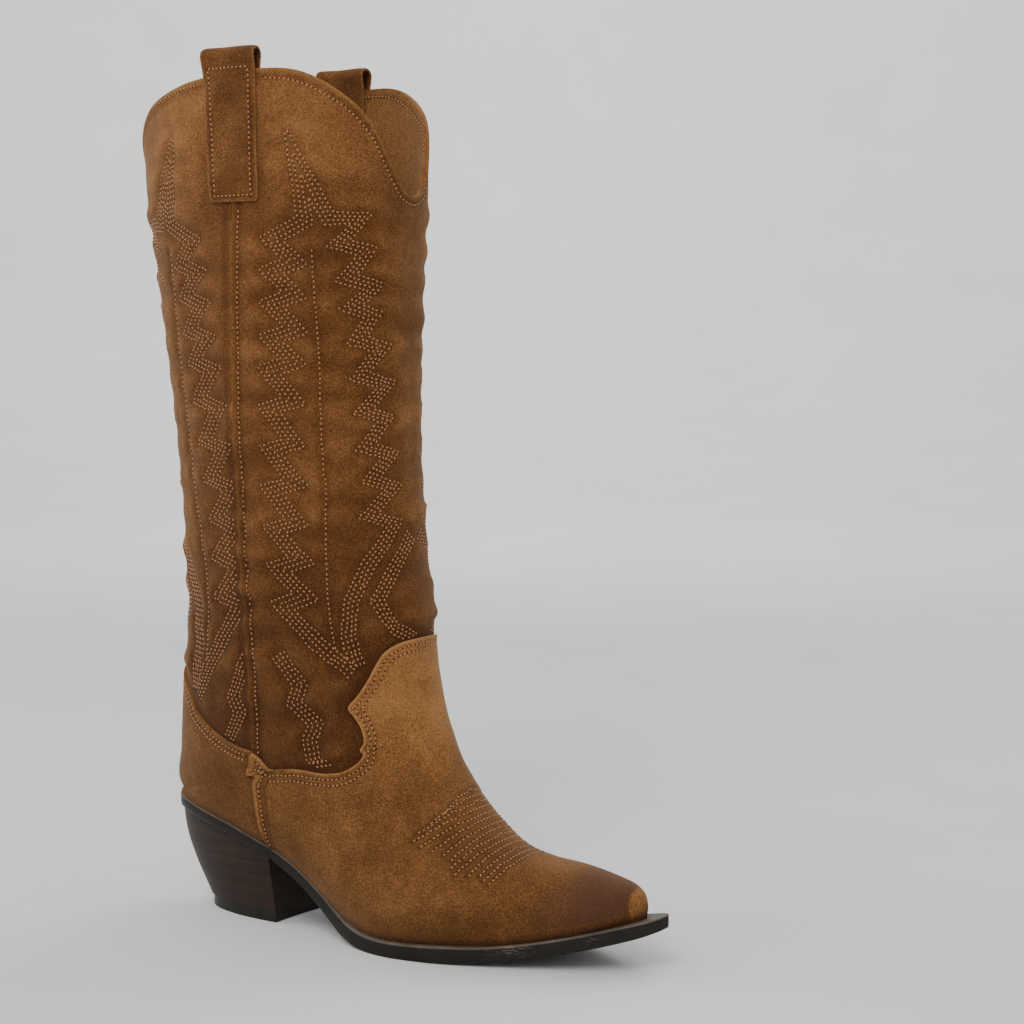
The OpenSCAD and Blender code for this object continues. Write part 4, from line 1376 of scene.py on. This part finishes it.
class BOOT_OT_leg_panels(bpy.types.Operator):
    """Front and back leather of the leg, quilted by the stitching"""
    bl_idname = "boot.leg_panels"
    bl_label = "Leg panels"

    def execute(self, context):
        front = grid_sheet("front_leg_panel", 160, 272, leg_shape(False))
        register_piece(front, leg_suede(), "suede", "front_shaft")
        back = grid_sheet("back_leg_panel", 156, 260, leg_shape(True))
        register_piece(back, leg_suede(), "suede", "back_shaft")
        return {"FINISHED"}


class BOOT_OT_vamp(bpy.types.Operator):
    """Vamp with its tongue, from the instep to the toe"""
    bl_idname = "boot.vamp"
    bl_label = "Vamp"

    def execute(self, context):
        cols, rows = 236, 190
        obj = grid_sheet("vamp_panel", cols, rows, vamp_shape(cols))
        register_piece(obj, foot_suede(), "suede", "vamp")
        return {"FINISHED"}


class BOOT_OT_counter(bpy.types.Operator):
    """Cover over the heel counter"""
    bl_idname = "boot.counter"
    bl_label = "Counter cover"

    def execute(self, context):
        obj = grid_sheet("counter_panel", 150, 74, counter_shape(74))
        register_piece(obj, foot_suede(), "suede", "counter_cover")
        return {"FINISHED"}


class BOOT_OT_pull_straps(bpy.types.Operator):
    """The two pull straps, each a loop over the top line"""
    bl_idname = "boot.pull_straps"
    bl_label = "Pull straps"

    def execute(self, context):
        for name, side in (("outer", -1), ("inner", 1)):
            obj = grid_sheet(f"{name}_strap", 36, 150, strap_shape(side))
            register_piece(obj, leg_suede(), "suede", f"{name}_pull_strap")
        return {"FINISHED"}


class BOOT_OT_facings(bpy.types.Operator):
    """Suede facings inside the top line"""
    bl_idname = "boot.facings"
    bl_label = "Facings"

    def execute(self, context):
        c = context.scene.boot_colours
        tan = finish_of("facing_split_suede", suede, hex_of(c.foot_light),
                        hex_of(c.foot_middle), hex_of(c.foot_dark),
                        hex_of(c.burnish), 0.5)

        def top(h):
            return smooth(TOP_LINE, h) + 0.004

        def low(h):
            return smooth(FACING_END, h)

        for back, name in ((False, "front"), (True, "back")):
            obj = grid_sheet(f"{name}_facing_panel", 110, 44, inside_shape(
                back, top, low, 0.995, -LEATHER_T - GAP,
                -2 * LEATHER_T - GAP))
            register_piece(obj, tan, "facing_suede", f"{name}_facing")
        return {"FINISHED"}


class BOOT_OT_linings(bpy.types.Operator):
    """Dark textile lining of the leg and foot"""
    bl_idname = "boot.linings"
    bl_label = "Linings"

    def execute(self, context):
        knit = finish_of("knitted_lining", textile, "#34343a", "#141417")

        def top(h):
            return smooth(FACING_END, h) - 0.02

        def low(h):
            return h * 0 + 7.3

        parts = (("front_lining", 90, 140, inside_shape(
                     False, top, low, 0.985, -LEATHER_T - GAP, -2.2)),
                 ("back_lining", 90, 150, heel_lining_shape),
                 ("vamp_lining", 70, 110, vamp_lining_shape))
        for name, cols, rows, shape in parts:
            obj = grid_sheet(f"{name}_cloth", cols, rows, shape)
            register_piece(obj, knit, "lining_textile", name)
        return {"FINISHED"}


class BOOT_OT_footbed(bpy.types.Operator):
    """Cover sock and the foam pad under the heel"""
    bl_idname = "boot.footbed"
    bl_label = "Footbed"

    def execute(self, context):
        sock_skin = finish_of("sock_leather", plain_finish, "#a98a63",
                              "#8f7350", 420.0, 0.7)
        foam = finish_of("pad_foam", plain_finish, "#d9cfa8", "#c4b88c",
                         900.0, 0.9)
        sock = grid_sheet("cover_sock", 130, 30, foot_slab(
            3.4, -50, 212, lambda x: SOCK_LOW + 0.15 + pad_height(x),
            lambda x: SOCK_LOW + 1.15 + pad_height(x), 0.35))
        register_piece(sock, sock_skin, "sock_leather", "sock_lining")
        pad = grid_sheet("heel_cushion", 60, 30, foot_slab(
            5, -50, 34, lambda x: SOCK_LOW + 0.05 + 0 * x,
            lambda x: SOCK_LOW + 0.1 + np.maximum(pad_height(x), 0.08),
            0.0))
        register_piece(pad, foam, "pad_foam", "heel_pad")
        return {"FINISHED"}


class BOOT_OT_outsole(bpy.types.Operator):
    """Outsole with its bevelled, inked edge"""
    bl_idname = "boot.outsole"
    bl_label = "Outsole"

    def execute(self, context):
        c = context.scene.boot_colours
        rubber = finish_of("inked_rubber", sole_finish, "#211c18",
                           hex_of(c.sole), "#7d7064")
        obj = grid_sheet("outsole_slab", 260, 26, outsole_shape)
        bm = bmesh.new()
        bm.from_mesh(obj.data)
        rim = [e for e in bm.edges if len(e.link_faces) == 2
               and e.calc_face_angle(0) > math.radians(55)]
        bmesh.ops.bevel(bm, geom=rim, offset=0.9 * MM, segments=3,
                        profile=0.5, affect="EDGES", material=-1,
                        offset_type="OFFSET")
        for f in bm.faces:
            f.smooth = True
        for e in bm.edges:
            e.smooth = e.calc_face_angle(0) < math.radians(40)
        bm.to_mesh(obj.data)
        bm.free()
        register_piece(obj, rubber, "sole_rubber", "outsole")
        return {"FINISHED"}


class BOOT_OT_heel(bpy.types.Operator):
    """Stacked heel and its rubber top piece"""
    bl_idname = "boot.heel"
    bl_label = "Heel"

    def execute(self, context):
        c = context.scene.boot_colours
        stack = finish_of("waxed_heel_stack", stack_finish,
                          hex_of(c.heel), "#1d1512")
        rubber = finish_of("moulded_top_rubber", sole_finish, "#2a2623",
                           hex_of(c.sole), "#5c544c")

        def block(u, v):
            z = np.full(len(u), 45.0)
            low = TOP_PIECE_T + 0.05
            for _ in range(8):
                x, y = heel_ring(u, z)
                seat = sole_z(x) - SEAT_T - 0.02
                z = low + (seat - low) * v
            x, y = heel_ring(u, z)
            layer = -0.07 * np.cos(2 * np.pi * (z - low) / 2.3) ** 8
            out = unit(np.stack([x - 0, y], -1)) * layer[:, None]
            return np.stack([x + out[:, 0], y + out[:, 1], z], -1)

        obj = closed_loft("heel_stack_block", 160, 92, block)
        register_piece(obj, stack, "heel_stack", "heel_block")

        def top_piece(u, v):
            z = TOP_PIECE_T * v
            x, y = heel_ring(u, np.full(len(u), 2.0))
            return np.stack([x, y, z], -1)

        obj = closed_loft("heel_top_rubber", 160, 5, top_piece, 0.5)
        register_piece(obj, rubber, "top_piece_rubber", "heel_top_piece")
        return {"FINISHED"}


class BOOT_OT_stitching(bpy.types.Operator):
    """Decorative figures, edge rows and seams, stitch by stitch"""
    bl_idname = "boot.stitching"
    bl_label = "Stitching"

    def execute(self, context):
        sizes = context.scene.boot_sizes
        c = context.scene.boot_colours
        step, thick = sizes.stitch_step / MM, sizes.thread_thick / MM
        tan = finish_of("bonded_thread", thread, hex_of(c.thread),
                        "#824c26")
        # Painted shade: dark discs that stand in for the shade inside the
        # needle holes.
        dark = finish_of("needle_hole", plain_finish, "#22110a", "#150a05",
                         900.0, 0.95)
        get = bpy.data.objects
        panels = {False: get["front_leg_panel"], True: get["back_leg_panel"]}
        for back, panel in panels.items():
            for side, word in ((-1, "outer"), (1, "inner")):
                lines = []
                for st in figure_lines(side, back):
                    s, t = st[:, 0], st[:, 1]
                    free = ~covered(s + 0.03, t)
                    line = np.minimum(seam(s), 0.56)
                    if back:
                        free &= abs(t) > line + 0.012
                    else:
                        free &= abs(t) < line - 0.02
                    cut = np.flatnonzero(np.diff(free.astype(int))) + 1
                    for run in np.split(np.arange(len(s)), cut):
                        if len(run) > 4 and free[run[0]]:
                            lines.append(raised(s[run], t[run]))
                place = "back" if back else "front"
                lay_rows(f"{place}_{word}_figure", lines, panel, step,
                         thick, tan, dark)
        self.edges(panels, step, thick, tan, dark)
        return {"FINISHED"}

    def edges(self, panels, step, thick, tan, dark):
        get = bpy.data.objects
        for back, panel in panels.items():
            lines = []
            h = np.linspace(0, 0.476, 200) if not back else np.linspace(
                0.494, 1, 200)
            for side in (-1, 1):
                s = smooth(TOP_LINE, h)
                clear = (h < 0.408) | (h > 0.555)
                for part in np.split(np.arange(200), np.flatnonzero(
                        np.diff(clear.astype(int))) + 1):
                    if clear[part[0]]:
                        lines.append(raised(s[part] + TOP_ROW / TOP_STEP,
                                            side * h[part]))
                if not back:
                    s = np.linspace(1.12, 8.3, 300)
                    t = seam(np.minimum(s, 7.49)) - 3.4 / np.interp(
                        s, FLAT_S, GIRTH)
                    show = ~covered(s + 0.04, t)
                    lines.append(raised(s[show], side * t[show]))
            lay_rows("back_edge_rows" if back else "front_edge_rows", lines,
                     panel, step, thick, tan, dark)
            place = "back" if back else "front"
            s = smooth(TOP_LINE, h) + TOP_ROW / TOP_STEP
            inside = [raised(s, side * h, -2 * LEATHER_T - GAP - 2.4)
                      for side in (-1, 1)]
            lay_rows(f"{place}_facing_rows", inside,
                     get[f"{place}_facing_panel"], step, thick, tan, dark)
        lines = []
        e = np.linspace(0, RIM_N, 700)
        for side in (-1, 1):
            s, t, _ = rim_at(e)
            p, n = raised(s, side * t), outward(s, side * t)
            upper = e <= 16.6
            for d, part in ((3.0, upper), (5.8, upper), (2.6, ~upper)):
                row = offset_rows(p, n, -side, (d,))[0][part]
                lines += clear_runs(row, d - 0.5)
            for st in medallion_lines(side):
                lines += clear_runs(raised(st[:, 0], st[:, 1]), 8.0)
        lay_rows("vamp_rows", lines, get["vamp_panel"], step, thick, tan,
                 dark)
        h = np.linspace(0.56, 1, 200)
        lines = []
        for side in (-1, 1):
            s = smooth(COUNTER_EDGE, h)
            p, n = raised(s, side * h), outward(s, side * h)
            lines += offset_rows(p, n, -side, (3.0, 5.6))
        lay_rows("counter_rows", lines, get["counter_panel"], step, thick,
                 tan, dark)
        for word, side in (("outer", -1), ("inner", 1)):
            a, b = STRAP_T
            low, high, cross = (
                (TOP_Z - z) / TOP_STEP for z in (374.2, 436, 436.4))
            inset = 3.0 / 210
            z = np.linspace(high, low, 60)
            t = np.linspace(a + inset, b - inset, 40)
            box = np.vstack([
                np.stack([z, z * 0 + a + inset], -1),
                np.stack([t * 0 + low, t], -1),
                np.stack([z[::-1], z * 0 + b - inset], -1)])
            across = np.stack([t * 0 + cross, t], -1)
            lines = [spot(q[:, 0], side * q[:, 1])
                     + outward(q[:, 0], side * q[:, 1]) * 2.6
                     for q in (box, across)]
            lay_rows(f"{word}_strap_rows", lines, get[f"{word}_strap"],
                     step, thick, tan, dark)


class BOOT_OT_inner_parts(bpy.types.Operator):
    """Finishes of the shaped parts that stay inside the boot"""
    bl_idname = "boot.inner_parts"
    bl_label = "Inner parts"

    def execute(self, context):
        sheet = finish_of("stiffener_sheet", plain_finish, "#cbbb98",
                          "#b09e78", 300.0, 0.85)
        board = finish_of("fibre_board", plain_finish, "#b08a5a", "#94704a",
                          260.0, 0.8)
        steel = finish_of("rolled_steel", plain_finish, "#b9bbbd",
                          "#8f9193", 500.0, 0.35, 1.0, 0.00005)
        brass = finish_of("brass_rivet", plain_finish, "#c8a04e", "#a87f35",
                          600.0, 0.35, 1.0, 0.00005)
        felt = finish_of("cork_felt", plain_finish, "#8f7a55", "#6b5a3c",
                         500.0, 0.95)
        for nodes, finish in (
                (("toe_puff", "heel_stiffener"), sheet),
                (("insole_board", "shank_board"), board),
                (("steel_shank", "heel_screw", "heel_nails",
                  "top_piece_pins"), steel),
                (("shank_rivets",), brass), (("bottom_filler",), felt)):
            for name in nodes:
                for place in frame["nodes"][name].material_slots:
                    place.material = finish
        return {"FINISHED"}


STEPS = (BOOT_OT_stage, BOOT_OT_leg_panels, BOOT_OT_vamp, BOOT_OT_counter,
         BOOT_OT_pull_straps, BOOT_OT_facings, BOOT_OT_linings,
         BOOT_OT_footbed, BOOT_OT_outsole, BOOT_OT_heel, BOOT_OT_stitching,
         BOOT_OT_inner_parts)


class BOOT_PT_panel(bpy.types.Panel):
    """Sizes, colours and steps of the boot"""
    bl_label = "Cowboy boot"
    bl_idname = "BOOT_PT_panel"
    bl_space_type = "VIEW_3D"
    bl_region_type = "UI"
    bl_category = "Boot"

    def draw(self, context):
        scene = context.scene
        for group in (scene.boot_sizes, scene.boot_colours,
                      scene.boot_studio):
            box = self.layout.box()
            for key in group.__annotations__:
                box.prop(group, key)
        for step in STEPS:
            self.layout.operator(step.bl_idname)


GROUPS = {"boot_colours": BootColours, "boot_sizes": BootSizes,
          "boot_studio": StudioSizes}


def register():
    for cls in (*GROUPS.values(), *STEPS, BOOT_PT_panel):
        bpy.utils.register_class(cls)
    for key, cls in GROUPS.items():
        setattr(bpy.types.Scene, key, bpy.props.PointerProperty(type=cls))


def unregister():
    for key in GROUPS:
        delattr(bpy.types.Scene, key)
    for cls in reversed((*GROUPS.values(), *STEPS, BOOT_PT_panel)):
        bpy.utils.unregister_class(cls)


def main():
    register()
    for step in STEPS:
        area, name = step.bl_idname.split(".")
        getattr(getattr(bpy.ops, area), name)()


if __name__ == "__main__":
    main()
